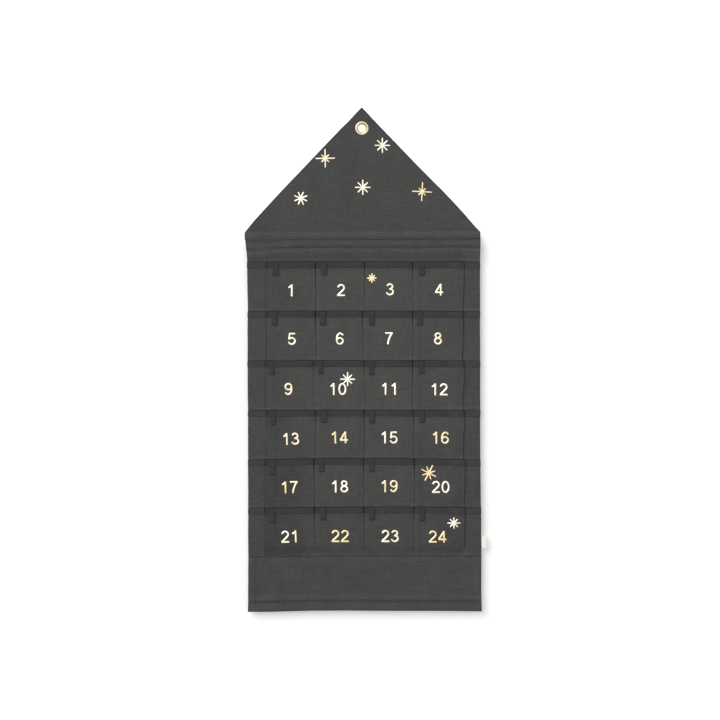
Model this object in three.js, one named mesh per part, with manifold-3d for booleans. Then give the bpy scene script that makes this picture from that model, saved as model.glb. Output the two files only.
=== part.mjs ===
// A wall-hanging advent calendar sewn from cotton canvas: a gabled roof with a brass eyelet, a body of
// six rows of four pockets, and a wooden stick in a sleeve at the roof's edge and at the bottom hem.
// Lengths are in millimetres. X runs to the right as seen from the front, the front faces -Y, and Z is up.
// The origin is the centre of the eyelet's hole, in the plane of the cloth's back face.
import * as THREE from "three";
import { mergeVertices } from "three/addons/utils/BufferGeometryUtils.js";
import Module from "manifold-3d";

const wasm = await Module();
wasm.setup();

// Driving dimensions of the roof
const roofWidth = 383;
const roofHeight = 203;
const apexRadius = 2;
const roofSleeveHeight = 11.5;

// Driving dimensions of the body
const bodyWidth = 380;
const bodyShift = 2.5; // how far right of the eyelet the middle of the body hangs
const headerHeight = 37.5;
const bottomBandHeight = 72.2;
const hemSleeveHeight = 14.5;

// Driving dimensions of the pockets
const rowCount = 6;
const columnCount = 4;
const rowPitch = 80.3;
const leftMargin = 32; // from the body's side edge to the first pocket's seam
const rightMargin = 28;
const grooveWidth = 3; // between the side walls of two pockets
const mouthDepth = 5.6;
const bellyDepth = 6.2;
const pocketCorner = 1.8;
const bottomCorner = 1.8;
const mouthGap = 2.5; // from a pocket's bottom to the mouth of the pocket under it
const bellyStartShare = 0.16; // shares of the pocket's height, down from its mouth
const bellyFullShare = 0.55;

// Cloth, tape and the room between sewn layers
const canvas = 0.8;
const tapeThickness = 0.6;
const tapeWidth = 10;
const layerGap = 0.2;
const foldGap = 0.3;

// Hanging loops of folded tape
const loopWidth = 10;
const loopLength = 21.5;
const loopSewnLength = 5;
const loopTopRadius = 0.75;
const loopEyeRadius = 1;
// From the seam on each pocket's left to the middle of its loop, row by row. Two pockets have no loop.
const loopInsets = [
  [14, 14, null, 13.5],
  [13, 12, 11.5, 10.5],
  [8, 8.5, 11.5, 12.5],
  [10.5, 13.5, 12, 13.5],
  [9.5, 9.5, 11.5, null],
  [9, 11.5, 12, 13.5],
];

// Sticks
const stickDiameter = 4;
const stickClearance = 0.3;
const stickInset = 3; // from the cloth's side edge to the stick's end
const stickChamfer = 0.6;

// Brass eyelet and the washer that it is rolled over
const eyeletDrop = 33.5; // from the point where the roof's edges would meet to the eyelet's centre
const eyeletHole = 12.5;
const flangeDiameter = 22;
const flangeHeight = 1.1;
const barrelWall = 0.5;
const barrelClearance = 0.3;
const washerThickness = 0.7;
const rollRadius = 0.6;
const rollEnd = -Math.PI / 6; // how far the barrel's lip curls round, back to the washer
const brassGap = 0.2;

// Side label: a bare folded ribbon in the right-hand seam
const labelHeight = 21;
const labelReach = 11.5;
const labelThickness = 1;
const labelRise = 34.5; // from the bottom of the rows to the label's top

// Soft ridges across the header: place down the header and half-width as shares of its height
const ridgeSlope = 0.012; // they climb to the right
const ridges = [
  { placeShare: 0.2, widthShare: 0.075, height: 1.2 },
  { placeShare: 0.48, widthShare: 0.09, height: 1.6 },
  { placeShare: 0.72, widthShare: 0.1, height: 0.6 },
];
const lowerRidge = { placeShare: 0.9, widthShare: 0.05, height: 1.8 };

// Fineness of the curves, and the overrun of cuts
const arcSteps = 3;
const stickArcSteps = 8;
const roundSteps = 32;
const headerSteps = 14;
const widthSteps = 10;
const overrun = 1;
const weld = 0.001;

// Levels and planes that follow from the driving dimensions
const apexZ = eyeletDrop;
const shoulderZ = apexZ - roofHeight;
const roofEdgeZ = shoulderZ - roofSleeveHeight;
const bodyThickness = 2 * canvas;
const foldForward = bodyThickness / 2;
const foldZ = roofEdgeZ - foldGap - bodyThickness / 2;
const rowsTopZ = roofEdgeZ - headerHeight;
const rowsBottomZ = rowsTopZ - rowCount * rowPitch;
const hemZ = rowsBottomZ - bottomBandHeight;
const bottomZ = hemZ - hemSleeveHeight;
const bodyLeft = bodyShift - bodyWidth / 2;
const bodyRight = bodyShift + bodyWidth / 2;
const pocketsLeft = bodyLeft + leftMargin;
const columnPitch = (bodyWidth - leftMargin - rightMargin) / columnCount;
const roofFrontBack = canvas + layerGap;
const roofFrontFace = roofFrontBack + canvas;
const stickRadius = stickDiameter / 2;
const sleeveBore = stickRadius + stickClearance;
const sleeveOuter = sleeveBore + canvas;
const stickForward = canvas + sleeveBore;
const topStickZ = (shoulderZ + roofEdgeZ) / 2;
const bottomStickZ = bottomZ + sleeveOuter;
const rowBack = bodyThickness + layerGap;
const rowFace = rowBack + canvas;
const mouthFace = bodyThickness + mouthDepth;
const bellyFace = bodyThickness + bellyDepth;
const rowHeight = rowPitch - layerGap;
const pocketHeight = rowPitch - mouthGap;
const mouthTapeFace = mouthFace + layerGap + tapeThickness;

const right = new THREE.Vector3(1, 0, 0);
const forward = new THREE.Vector3(0, -1, 0);
const up = new THREE.Vector3(0, 0, 1);

// A closed geometry as a solid that can be joined and cut.
function solidOf(geometry) {
  const bare = geometry.clone();
  bare.deleteAttribute("normal");
  bare.deleteAttribute("uv");
  const merged = mergeVertices(bare, weld);
  return new wasm.Manifold(
    new wasm.Mesh({
      numProp: 3,
      vertProperties: merged.attributes.position.array,
      triVerts: new Uint32Array(merged.index.array),
    }),
  );
}

// A solid as a faceted geometry.
function geometryOf(solid) {
  const mesh = solid.getMesh();
  const indexed = new THREE.BufferGeometry();
  indexed.setAttribute("position", new THREE.BufferAttribute(mesh.vertProperties, mesh.numProp));
  indexed.setIndex(new THREE.BufferAttribute(mesh.triVerts, 1));
  const faceted = indexed.toNonIndexed();
  faceted.computeVertexNormals();
  return faceted;
}

// An outline of [across, upright] pairs, drawn on those two directions and extruded from start along
// their cross product: forward and up run to the left, right and forward run down, right and up run
// forward.
function prism(outline, across, upright, start, depth, { hole = null, steps = 1 } = {}) {
  const shape = new THREE.Shape(outline.map(([a, b]) => new THREE.Vector2(a, b)));
  if (hole) {
    shape.holes.push(new THREE.Path(hole.map(([a, b]) => new THREE.Vector2(a, b))));
  }
  const along = new THREE.Vector3().crossVectors(across, upright);
  const place = new THREE.Matrix4().makeBasis(across, upright, along).setPosition(start);
  return new THREE.ExtrudeGeometry(shape, { depth, steps, bevelEnabled: false }).applyMatrix4(place);
}

// Points of an arc about a centre, from one angle to another.
function arc(centre, radius, from, to, steps) {
  return Array.from({ length: steps + 1 }, (_, k) => {
    const angle = from + ((to - from) * k) / steps;
    return [centre[0] + radius * Math.cos(angle), centre[1] + radius * Math.sin(angle)];
  });
}

// The angle on a circle where a line from a point meets it, on the side that turn (1 or -1) picks.
function tangentAngle(point, centre, radius, turn) {
  const away = [point[0] - centre[0], point[1] - centre[1]];
  return Math.atan2(away[1], away[0]) + turn * Math.acos(radius / Math.hypot(...away));
}

// Brings a stack of rings of points, which run anticlockwise as seen from above, top ring first, to one
// closed geometry with a flat top and bottom.
function loft(rings) {
  const count = rings[0].length;
  const index = [];
  for (let level = 0; level + 1 < rings.length; level++) {
    for (let k = 0; k < count; k++) {
      const next = (k + 1) % count;
      const [a, b] = [level * count + k, level * count + next];
      index.push(a, a + count, b, b, a + count, b + count);
    }
  }
  const lowest = (rings.length - 1) * count;
  for (let k = 1; k + 1 < count; k++) {
    index.push(0, k, k + 1, lowest, lowest + k + 1, lowest + k);
  }
  const geometry = new THREE.BufferGeometry().setFromPoints(rings.flat());
  geometry.setIndex(index);
  return geometry;
}

// Closed profiles of [radius, back] pairs, turned about the Y axis.
function turned(profile) {
  const points = profile.map(([radius, back]) => new THREE.Vector2(radius, back));
  return new THREE.LatheGeometry(points, roundSteps);
}

const cloth = new THREE.MeshStandardMaterial({ color: 0x4a4a48, roughness: 0.95, metalness: 0 });
const tape = new THREE.MeshStandardMaterial({ color: 0x3e3e3d, roughness: 0.9, metalness: 0 });
const brass = new THREE.MeshStandardMaterial({ color: 0xd8c08a, roughness: 0.3, metalness: 1 });
const wood = new THREE.MeshStandardMaterial({ color: 0xc9a877, roughness: 0.7, metalness: 0 });
const ribbon = new THREE.MeshStandardMaterial({ color: 0xf3f1e6, roughness: 0.9, metalness: 0 });

function piece(name, geometry, material) {
  const mesh = new THREE.Mesh(geometry, material);
  mesh.name = name;
  return mesh;
}

// The roof's outline: a gable with a rounded apex over an upright band as tall as the stick's sleeve.
function roofOutline() {
  const half = roofWidth / 2;
  const slope = Math.atan2(roofHeight, half);
  const centre = [0, apexZ - apexRadius / Math.cos(slope)];
  const lean = Math.PI / 2 - slope;
  return [
    [half, roofEdgeZ],
    [half, shoulderZ],
    ...arc(centre, apexRadius, lean, Math.PI - lean, 2 * arcSteps),
    [-half, shoulderZ],
    [-half, roofEdgeZ],
  ];
}

// The hole that the eyelet's barrel goes through, from behind both layers to in front of them.
function eyeletCut() {
  const radius = eyeletHole / 2 + barrelWall + barrelClearance;
  const hole = arc([0, 0], radius, 0, 2 * Math.PI, roundSteps).slice(1);
  const start = forward.clone().multiplyScalar(-overrun);
  return solidOf(prism(hole, right, up, start, roofFrontFace + 2 * overrun));
}

function roofBack() {
  const sheet = prism(roofOutline(), right, up, new THREE.Vector3(), canvas);
  return geometryOf(solidOf(sheet).subtract(eyeletCut()));
}

// The way of one face of the front layer over the stick, from the apex down, as [forward, z] pairs.
function frontLayerPath(face, radius) {
  const stick = [stickForward, topStickZ];
  const from = tangentAngle([face, shoulderZ], stick, radius, -1);
  const to = tangentAngle([face, roofEdgeZ], stick, radius, 1);
  return [
    [face, apexZ + overrun],
    [face, shoulderZ],
    ...arc(stick, radius, from, to, stickArcSteps),
    [face, roofEdgeZ],
  ];
}

function roofFront() {
  const section = [
    ...frontLayerPath(roofFrontFace, sleeveOuter),
    ...frontLayerPath(roofFrontBack, sleeveBore).reverse(),
  ];
  const start = right.clone().multiplyScalar(roofWidth / 2 + overrun);
  const draped = prism(section, forward, up, start, roofWidth + 2 * overrun);
  const depth = stickForward + sleeveOuter + overrun;
  const gable = prism(roofOutline(), right, up, new THREE.Vector3(), depth);
  return geometryOf(solidOf(draped).intersect(solidOf(gable)).subtract(eyeletCut()));
}

// How far the header's cloth stands forward of its plane at a place.
function ridgeHeight(x, z) {
  const down = (foldZ - z) / (foldZ - rowsTopZ);
  if (down <= 0 || down >= 1) {
    return 0;
  }
  const rise = (ridgeSlope * (x - bodyShift)) / headerHeight;
  const bump = ({ placeShare, widthShare, height }, shift) =>
    height * Math.exp(-(((down - placeShare + shift) / widthShare) ** 2));
  const slanted = ridges.reduce((sum, ridge) => sum + bump(ridge, rise), 0);
  return slanted + bump(lowerRidge, 0);
}

// The body: a doubled panel with a rounded top edge that turns in the fold under the roof, and a hem
// at the bottom that wraps the lower stick.
function bodyPanel() {
  const stick = [stickForward, bottomStickZ];
  const frontDown = tangentAngle([bodyThickness, hemZ], stick, sleeveOuter, -1);
  const hemTop = [canvas, hemZ - canvas];
  const boreDown = tangentAngle(hemTop, stick, sleeveBore, -1);
  const headerLevels = Array.from(
    { length: headerSteps + 1 },
    (_, k) => foldZ + ((rowsTopZ - foldZ) * k) / headerSteps,
  );
  const outline = [
    ...arc([foldForward, foldZ], bodyThickness / 2, 0, Math.PI, 2 * arcSteps),
    ...headerLevels.slice(1).map((z) => [0, z]),
    ...arc(stick, sleeveOuter, -Math.PI, frontDown, stickArcSteps),
    [bodyThickness, hemZ],
    ...headerLevels.slice(1).reverse().map((z) => [bodyThickness, z]),
  ];
  const hole = [hemTop, ...arc(stick, sleeveBore, boreDown, -Math.PI, stickArcSteps)];
  const start = right.clone().multiplyScalar(bodyRight);
  const panel = prism(outline, forward, up, start, bodyWidth, { hole, steps: widthSteps });
  const place = panel.attributes.position;
  for (let i = 0; i < place.count; i++) {
    place.setY(i, place.getY(i) - ridgeHeight(place.getX(i), place.getZ(i)));
  }
  return geometryOf(solidOf(panel));
}

// One pocket as a full block: rings that are open to the cloth behind, with rounded front corners, from
// the mouth over the belly to the rounded bottom. A skin above 0 gives the room inside that skin.
function pocketBlock(left, skin) {
  const inside = skin > 0;
  const back = inside ? rowBack - overrun : rowBack;
  const [low, high] = [left + grooveWidth / 2 + skin, left + columnPitch - grooveWidth / 2 - skin];
  const corner = pocketCorner - skin;
  const ring = (face, z) => {
    const front = face - skin;
    return [
      [low, back],
      [high, back],
      ...arc([high - corner, front - corner], corner, 0, Math.PI / 2, arcSteps),
      ...arc([low + corner, front - corner], corner, Math.PI / 2, Math.PI, arcSteps),
    ]
      .reverse()
      .map(([x, f]) => new THREE.Vector3(x, -f, z));
  };
  const bottom = [bellyFace - bottomCorner, bottomCorner - pocketHeight];
  const turn = arc(bottom, bottomCorner - skin, 0, -Math.PI / 2, arcSteps);
  return loft([
    ring(mouthFace, inside ? overrun : 0),
    ring(mouthFace, -bellyStartShare * pocketHeight),
    ring(bellyFace, -bellyFullShare * pocketHeight),
    ...turn.map(([face, z]) => ring(face + skin, z)),
  ]);
}

// One row, its mouth at z = 0: a strip over the body's full width with a box pocket in each column.
function pocketRow() {
  const edge = [
    [bodyLeft, 0],
    [bodyRight, 0],
    [bodyRight, -rowHeight],
    [bodyLeft, -rowHeight],
  ];
  const start = forward.clone().multiplyScalar(rowBack);
  let row = solidOf(prism(edge, right, up, start, canvas));
  for (let column = 0; column < columnCount; column++) {
    const left = pocketsLeft + column * columnPitch;
    row = row.add(solidOf(pocketBlock(left, 0)));
    row = row.subtract(solidOf(pocketBlock(left, canvas)));
  }
  return geometryOf(row);
}

// The line of a row's mouth from side to side as [x, forward] pairs, an offset in front of its cloth.
function mouthLine(offset) {
  const base = rowFace + offset;
  const radius = pocketCorner + offset;
  const line = [[bodyLeft, base]];
  for (let column = 0; column < columnCount; column++) {
    const low = pocketsLeft + column * columnPitch + grooveWidth / 2;
    const high = low + columnPitch - grooveWidth;
    line.push(
      [low - offset, base],
      ...arc([low + pocketCorner, mouthFace - pocketCorner], radius, Math.PI, Math.PI / 2, arcSteps),
      ...arc([high - pocketCorner, mouthFace - pocketCorner], radius, Math.PI / 2, 0, arcSteps),
      [high + offset, base],
    );
  }
  line.push([bodyRight, base]);
  return line;
}

function mouthTape() {
  const outline = [...mouthLine(layerGap + tapeThickness), ...mouthLine(layerGap).reverse()];
  return geometryOf(solidOf(prism(outline, right, forward, new THREE.Vector3(), tapeWidth)));
}

// A flat-backed drop as [forward, z] pairs: a small circle at the top, which has its centre at z = 0, a
// larger one at the bottom, and the two lines that touch both, the rear one upright.
function drop(topRadius, bottomRadius, back, top, bottom) {
  const upper = [back + topRadius, top - topRadius];
  const lower = [back + bottomRadius, bottom + bottomRadius];
  const front = 2 * Math.atan2(lower[1] - upper[1], lower[0] - upper[0]) + Math.PI;
  return [
    ...arc(upper, topRadius, front, Math.PI, 2 * arcSteps),
    ...arc(lower, bottomRadius, Math.PI, 2 * Math.PI + front, 2 * arcSteps),
  ];
}

// A hanging loop about its own hinge line, which lies in the middle of its sewn top edge.
function hangingLoop() {
  const bottomRadius = loopEyeRadius + tapeThickness;
  const top = loopTopRadius;
  const bottom = top - loopLength;
  const outline = drop(loopTopRadius, bottomRadius, -loopTopRadius, top, bottom);
  const eyeTop = top - loopSewnLength;
  const eyeBack = tapeThickness - loopTopRadius;
  const narrow = loopTopRadius - tapeThickness;
  const hole = drop(narrow, loopEyeRadius, eyeBack, eyeTop, bottom + tapeThickness).reverse();
  const start = right.clone().multiplyScalar(loopWidth / 2);
  return geometryOf(solidOf(prism(outline, forward, up, start, loopWidth, { hole })));
}

// The eyelet: a domed flange in front of the cloth, a barrel through it and a roll behind the washer.
function eyelet() {
  const bore = eyeletHole / 2;
  const outer = bore + barrelWall;
  const rim = flangeDiameter / 2;
  const flangeBack = -roofFrontFace - brassGap;
  const washerFace = brassGap + washerThickness + brassGap;
  const dome = [(bore + rim) / 2, flangeBack];
  const reach = (rim - bore) / 2;
  const domeFace = arc(dome, 1, 0, -Math.PI, 2 * arcSteps).map(([radius, back]) => [
    dome[0] + (radius - dome[0]) * reach,
    dome[1] + (back - dome[1]) * flangeHeight,
  ]);
  const roll = [outer + rollRadius, washerFace + rollRadius];
  const profile = [
    ...domeFace,
    ...arc(roll, rollRadius + barrelWall, Math.PI, rollEnd, 2 * arcSteps),
    ...arc(roll, rollRadius, rollEnd, Math.PI, 2 * arcSteps),
    [outer, flangeBack],
    [rim, flangeBack],
  ];
  return turned(profile.reverse());
}

function eyeletWasher() {
  const bore = eyeletHole / 2 + barrelWall + brassGap;
  const rim = flangeDiameter / 2;
  const far = brassGap + washerThickness;
  return turned([
    [bore, brassGap],
    [rim, brassGap],
    [rim, far],
    [bore, far],
    [bore, brassGap],
  ]);
}

// A stick with chamfered ends, about the X axis.
function stick(length) {
  const half = length / 2;
  const profile = [
    [0, -half],
    [stickRadius - stickChamfer, -half],
    [stickRadius, stickChamfer - half],
    [stickRadius, half - stickChamfer],
    [stickRadius - stickChamfer, half],
    [0, half],
  ];
  return turned(profile).rotateZ(-Math.PI / 2);
}

// The label about its own hinge line, which is the rounded edge at the body's side.
function sideLabel() {
  const radius = labelThickness / 2;
  const outline = [
    ...arc([0, 0], radius, Math.PI / 2, (3 * Math.PI) / 2, 2 * arcSteps),
    ...arc([labelReach - 2 * radius, 0], radius, -Math.PI / 2, Math.PI / 2, 2 * arcSteps),
  ];
  return prism(outline, right, forward, new THREE.Vector3(), labelHeight);
}

const calendar = new THREE.Group();
const roof = new THREE.Group();
const body = new THREE.Group();
calendar.add(roof, body);

roof.add(piece("roof_back", roofBack(), cloth));
roof.add(piece("roof_front", roofFront(), cloth));
roof.add(piece("eyelet", eyelet(), brass));
roof.add(piece("eyelet_washer", eyeletWasher(), brass));

const topStick = piece("top_stick", stick(roofWidth - 2 * stickInset), wood);
topStick.position.set(0, -stickForward, topStickZ);
roof.add(topStick);

body.add(piece("body_panel", bodyPanel(), cloth));

const bottomStick = piece("bottom_stick", stick(bodyWidth - 2 * stickInset), wood);
bottomStick.position.set(bodyShift, -stickForward, bottomStickZ);
body.add(bottomStick);

const label = piece("side_label", sideLabel(), ribbon);
label.position.set(bodyRight + foldGap + labelThickness / 2, -foldForward, rowsBottomZ + labelRise);
body.add(label);

const rowGeometry = pocketRow();
const tapeGeometry = mouthTape();
const loopGeometry = hangingLoop();
for (let row = 0; row < rowCount; row++) {
  const rowTop = rowsTopZ - row * rowPitch;
  const strip = piece(`pocket_row_${row + 1}`, rowGeometry, cloth);
  strip.position.z = rowTop;
  const binding = piece(`mouth_tape_${row + 1}`, tapeGeometry, tape);
  binding.position.z = rowTop;
  body.add(strip, binding);

  for (let column = 0; column < columnCount; column++) {
    const inset = loopInsets[row]?.[column];
    if (!inset) {
      continue;
    }
    const number = row * columnCount + column + 1;
    const loop = piece(`loop_${String(number).padStart(2, "0")}`, loopGeometry, tape);
    loop.position.set(
      pocketsLeft + column * columnPitch + inset,
      -(mouthTapeFace + layerGap + loopTopRadius),
      rowTop - layerGap - loopTopRadius,
    );
    body.add(loop);
  }
}

export default calendar;
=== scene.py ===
"""The looks of a wall-hanging advent calendar: charcoal canvas, tape, foil print, brass and wood.

Places are in millimetres in the part's own frame until place() brings them to metres. The front
faces -Y, and "forward" is the distance in front of the plane of the cloth's back face.
"""
import functools
import math

import bmesh
import bpy
from mathutils import Matrix, Vector, noise


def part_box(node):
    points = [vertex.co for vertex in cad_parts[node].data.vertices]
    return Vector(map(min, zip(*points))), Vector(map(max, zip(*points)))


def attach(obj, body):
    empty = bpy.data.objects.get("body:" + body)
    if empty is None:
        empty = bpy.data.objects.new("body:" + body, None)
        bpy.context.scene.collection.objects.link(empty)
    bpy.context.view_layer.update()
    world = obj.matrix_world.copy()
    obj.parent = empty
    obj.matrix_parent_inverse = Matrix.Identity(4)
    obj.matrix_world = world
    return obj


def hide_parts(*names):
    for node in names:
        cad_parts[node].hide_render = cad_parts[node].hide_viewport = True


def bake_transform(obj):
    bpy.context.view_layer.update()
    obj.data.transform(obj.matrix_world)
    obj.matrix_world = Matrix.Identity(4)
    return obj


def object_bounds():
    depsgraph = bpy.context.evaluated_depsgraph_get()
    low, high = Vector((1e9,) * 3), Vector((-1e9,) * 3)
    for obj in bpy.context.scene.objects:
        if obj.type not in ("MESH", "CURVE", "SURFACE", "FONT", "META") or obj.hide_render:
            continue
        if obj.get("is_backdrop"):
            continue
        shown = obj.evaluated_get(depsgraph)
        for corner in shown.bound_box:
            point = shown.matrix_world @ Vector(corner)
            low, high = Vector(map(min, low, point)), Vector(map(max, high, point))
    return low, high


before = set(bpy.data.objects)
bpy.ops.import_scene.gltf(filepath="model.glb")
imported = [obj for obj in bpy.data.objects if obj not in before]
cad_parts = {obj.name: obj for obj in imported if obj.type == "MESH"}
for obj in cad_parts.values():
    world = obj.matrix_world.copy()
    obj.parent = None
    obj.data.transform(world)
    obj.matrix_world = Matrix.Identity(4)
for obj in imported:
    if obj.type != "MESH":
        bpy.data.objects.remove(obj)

cad_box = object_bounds()

MM = 0.001
ROWS = range(6)
COLUMNS = range(4)


def box_mm(node):
    low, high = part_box(node)
    return low / MM, high / MM


def lerp(a, b, t):
    return a + (b - a) * t


def smooth(t):
    t = min(max(t, 0.0), 1.0)
    return t * t * (3 - 2 * t)


def hump(t):
    return math.exp(-t * t)


def along(points, at):
    """The value at a place on a line through (place, value) pairs, whose places run upwards."""
    if at <= points[0][0]:
        return points[0][1]
    for (a, first), (b, second) in zip(points, points[1:]):
        if at <= b:
            return lerp(first, second, (at - a) / (b - a))
    return points[-1][1]


def ripple(x, z, size, seed):
    """Smooth noise from -1 to 1 with waves about as long as size."""
    return noise.noise(Vector((x / size, seed * 7.31, z / size)))


def place(x, forward, z):
    return Vector((x, -forward, z)) * MM


# ---------------------------------------------------------------- sizes

ROOF_LOW, ROOF_HIGH = box_mm("roof_back")
PANEL_LOW, PANEL_HIGH = box_mm("body_panel")
TOP_STICK = box_mm("top_stick")
BOTTOM_STICK = box_mm("bottom_stick")
HALF_ROOF = ROOF_HIGH.x
SHOULDER_Z = -169.5  # where the gable's slopes end
PEAK_Z = 33.5  # where the slopes' lines meet
ROOF_EDGE_Z = ROOF_LOW.z
CANVAS = 0.8
BACKING = 1.6  # the panel's front face
STRIP_FACE = 2.6  # the front face of the strip that the pockets are folded from
HEM_Z = -772.5  # the bottom hem's stitching
SIDE_HEM = 11.5  # the side hems' width
ROW_TOPS = [box_mm(f"pocket_row_{row + 1}")[1].z for row in ROWS]
ROW_PITCH = ROW_TOPS[0] - ROW_TOPS[1]
ROWS_END = ROW_TOPS[-1] - ROW_PITCH
TAPE_WIDTH = 9.6
TAPE_STEP = 0.5  # how far the mouth tape stands out of the row's cloth

# How far the sewn cloth leaves its true place: the sides of the body by height, the roof's sides
# outwards, the bottom edge downwards, and the rows' top edges and the last row's bottom edge at the left
# side, the middle and the right side.
LEFT_SIDE = ((-787, 1.6), (-700, 1.8), (-610, 1.7), (-480, 1.5), (-404, 0.8), (-335, 0.8), (-290, 1.1),
             (-244, 0.2), (-209, 0.1), (-198, -1.6), (-192, -2.1), (-182, -3.1))
RIGHT_SIDE = ((-787, 3.1), (-745, 2.4), (-700, 2.6), (-655, 2.4), (-610, 1.8), (-564, 1.3), (-518, 0.6),
              (-400, 0.6), (-313, 0.4), (-218, 0.4), (-182, 1.2))
LEFT_SLOPE = ((-181, -0.2), (-172, 0.0), (-163, 0.8), (-150, 2.1), (-137, 2.5), (-124, 2.9), (-98, 3.3),
              (-72, 2.8), (-33, 2.6), (7, 1.9), (20, 1.75), (PEAK_Z, 0.2))
RIGHT_SLOPE = ((-181, 1.7), (-172, 1.8), (-163, 1.6), (-150, 2.8), (-137, 3.8), (-118, 4.3), (-98, 3.9),
               (-85, 2.9), (-59, 1.8), (-33, 1.3), (7, 0.6), (20, 0.85), (PEAK_Z, -0.2))
BOTTOM_SAG = ((-187, 3.1), (-150, 2.8), (-116, 1.7), (-85, 0.9), (-25, 0.8), (30, 1.2), (130, 1.35),
              (190, 2.0))
ROW_DRIFT = ((-1.0, -0.5, -1.0), (-0.8, -0.3, -1.2), (-1.4, -1.0, -1.4), (-2.4, -1.4, -2.1),
             (-2.8, 0.4, -2.8), (-1.0, 1.2, 0.2), (-0.6, 2.0, 1.0))
# Where each row's five seams are, two at its ends and three between its pockets.
SEAMS = ((-155.8, -76.6, 3.6, 82.0, 164.9), (-155.7, -76.4, 0.6, 81.9, 163.5),
         (-157.4, -79.4, 3.4, 81.8, 164.8), (-155.7, -76.6, 3.3, 83.5, 165.0),
         (-158.9, -78.8, 2.0, 85.0, 166.5), (-158.6, -78.0, 3.4, 83.8, 166.4))


def side_shift(x, z):
    """How far the body's cloth lies beside its true place."""
    share = (x - PANEL_LOW.x) / (PANEL_HIGH.x - PANEL_LOW.x)
    return lerp(along(LEFT_SIDE, z), along(RIGHT_SIDE, z), share) + 0.35 * ripple(share * 9, z, 34, 3)


def slope_x(z):
    """How far from the middle the gable's slopes, or their lines under the shoulders, are at a height."""
    return (PEAK_Z - z) * HALF_ROOF / (PEAK_Z - SHOULDER_Z)


def half_width(z):
    """Half the roof's width at a height."""
    return min(HALF_ROOF, slope_x(z))


def roof_tilt(x):
    """How far up the roof's lower edge is pulled: it climbs to the right."""
    return 0.8 * x / HALF_ROOF - 0.3


def off_brass(x, z):
    """0 at the eyelet, where the cloth is clenched flat, and 1 well away from it."""
    return smooth((math.hypot(x, z) - 12) / 20)


def roof_shift(x, z):
    """How far the roof's cloth lies beside and above its true place."""
    share = (x / max(half_width(z), 1) + 1) / 2
    across = lerp(-along(LEFT_SLOPE, z), along(RIGHT_SLOPE, z), min(max(share, 0), 1)) * off_brass(x, z)
    return across, roof_tilt(x) * smooth((-150 - z) / 25) + 0.85 * min(max((z - 15.5) / 18, 0), 1)


def row_line(line, x):
    """The height of a row's top edge, or of the last row's bottom edge, at x."""
    left, middle, right = ROW_DRIFT[line]
    t = (x - PANEL_LOW.x) / (PANEL_HIGH.x - PANEL_LOW.x)
    arch = lerp(left, right, t) + 4 * t * (1 - t) * (middle - (left + right) / 2)
    level = ROW_TOPS[line] if line < len(ROW_TOPS) else ROWS_END
    return level + arch + 0.3 * ripple(x, line * 50, 45, 5)


# ---------------------------------------------------------------- pieces from grids

def finished(name, mesh, material, body):
    """A mesh as a piece that rides on a body, or on none if it is to bend between two."""
    data = bpy.data.meshes.new(name)
    mesh.to_mesh(data)
    mesh.free()
    data.materials.append(material)
    data.shade_smooth()
    piece = bpy.data.objects.new(name, data)
    bpy.context.scene.collection.objects.link(piece)
    if body:
        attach(piece, body)
    return piece


def spread(columns, rows, lay, flat):
    """A grid whose corner (i, j) lies at lay(i, j), and on the uncut cloth at flat(i, j)."""
    cloth = bmesh.new()
    bmesh.ops.create_grid(cloth, x_segments=columns, y_segments=rows, size=0.5)
    low = min(v.co.x for v in cloth.verts), min(v.co.y for v in cloth.verts)
    high = max(v.co.x for v in cloth.verts), max(v.co.y for v in cloth.verts)
    corner = {}
    for v in cloth.verts:
        i = round((v.co.x - low[0]) / (high[0] - low[0]) * columns)
        j = round((v.co.y - low[1]) / (high[1] - low[1]) * rows)
        corner[v] = (i, j)
    uv = cloth.loops.layers.uv.new("UVMap")
    for face in cloth.faces:
        for loop in face.loops:
            x, y = flat(*corner[loop.vert])
            loop[uv].uv = (x * MM, y * MM)
    for v in cloth.verts:
        v.co = lay(*corner[v])
    cloth.normal_update()
    return cloth


def everything(mesh):
    return mesh.verts[:] + mesh.edges[:] + mesh.faces[:]


def turned_over(mesh):
    """A mesh with its faces to the other side."""
    bmesh.ops.reverse_faces(mesh, faces=mesh.faces[:])
    mesh.normal_update()
    return mesh


def dyed(piece, lightness, coolness=None):
    """Writes how much lighter each corner is, its tone with painted highlights and painted shade, and how
    cool its dye is, as attributes for its material.
    """
    for name, level_at in (("dye", lightness), ("cool", coolness)):
        if level_at:
            tone = piece.data.attributes.new(name, "FLOAT", "POINT")
            for v, value in zip(piece.data.vertices, tone.data):
                value.value = level_at(v.co.x / MM, v.co.z / MM)


def thicken(piece, thickness, offset=-1.0):
    shell = piece.modifiers.new("Thickness", "SOLIDIFY")
    shell.thickness = thickness * MM
    shell.offset = offset


def between(low, high, step):
    """Places from low to high, both included, about a step apart."""
    count = max(1, round(abs(high - low) / step))
    return [lerp(low, high, k / count) for k in range(count + 1)]


def joined(*runs):
    """Runs of places one after another, without those that repeat."""
    line = []
    for run in runs:
        for value in run:
            if not line or abs(value - line[-1]) > 1e-6:
                line.append(value)
    return line


# ---------------------------------------------------------------- shader maths

def connect(value, slot):
    if isinstance(value, Wire):
        value.tree.links.new(value.socket, slot)
    else:
        slot.default_value = value


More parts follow.
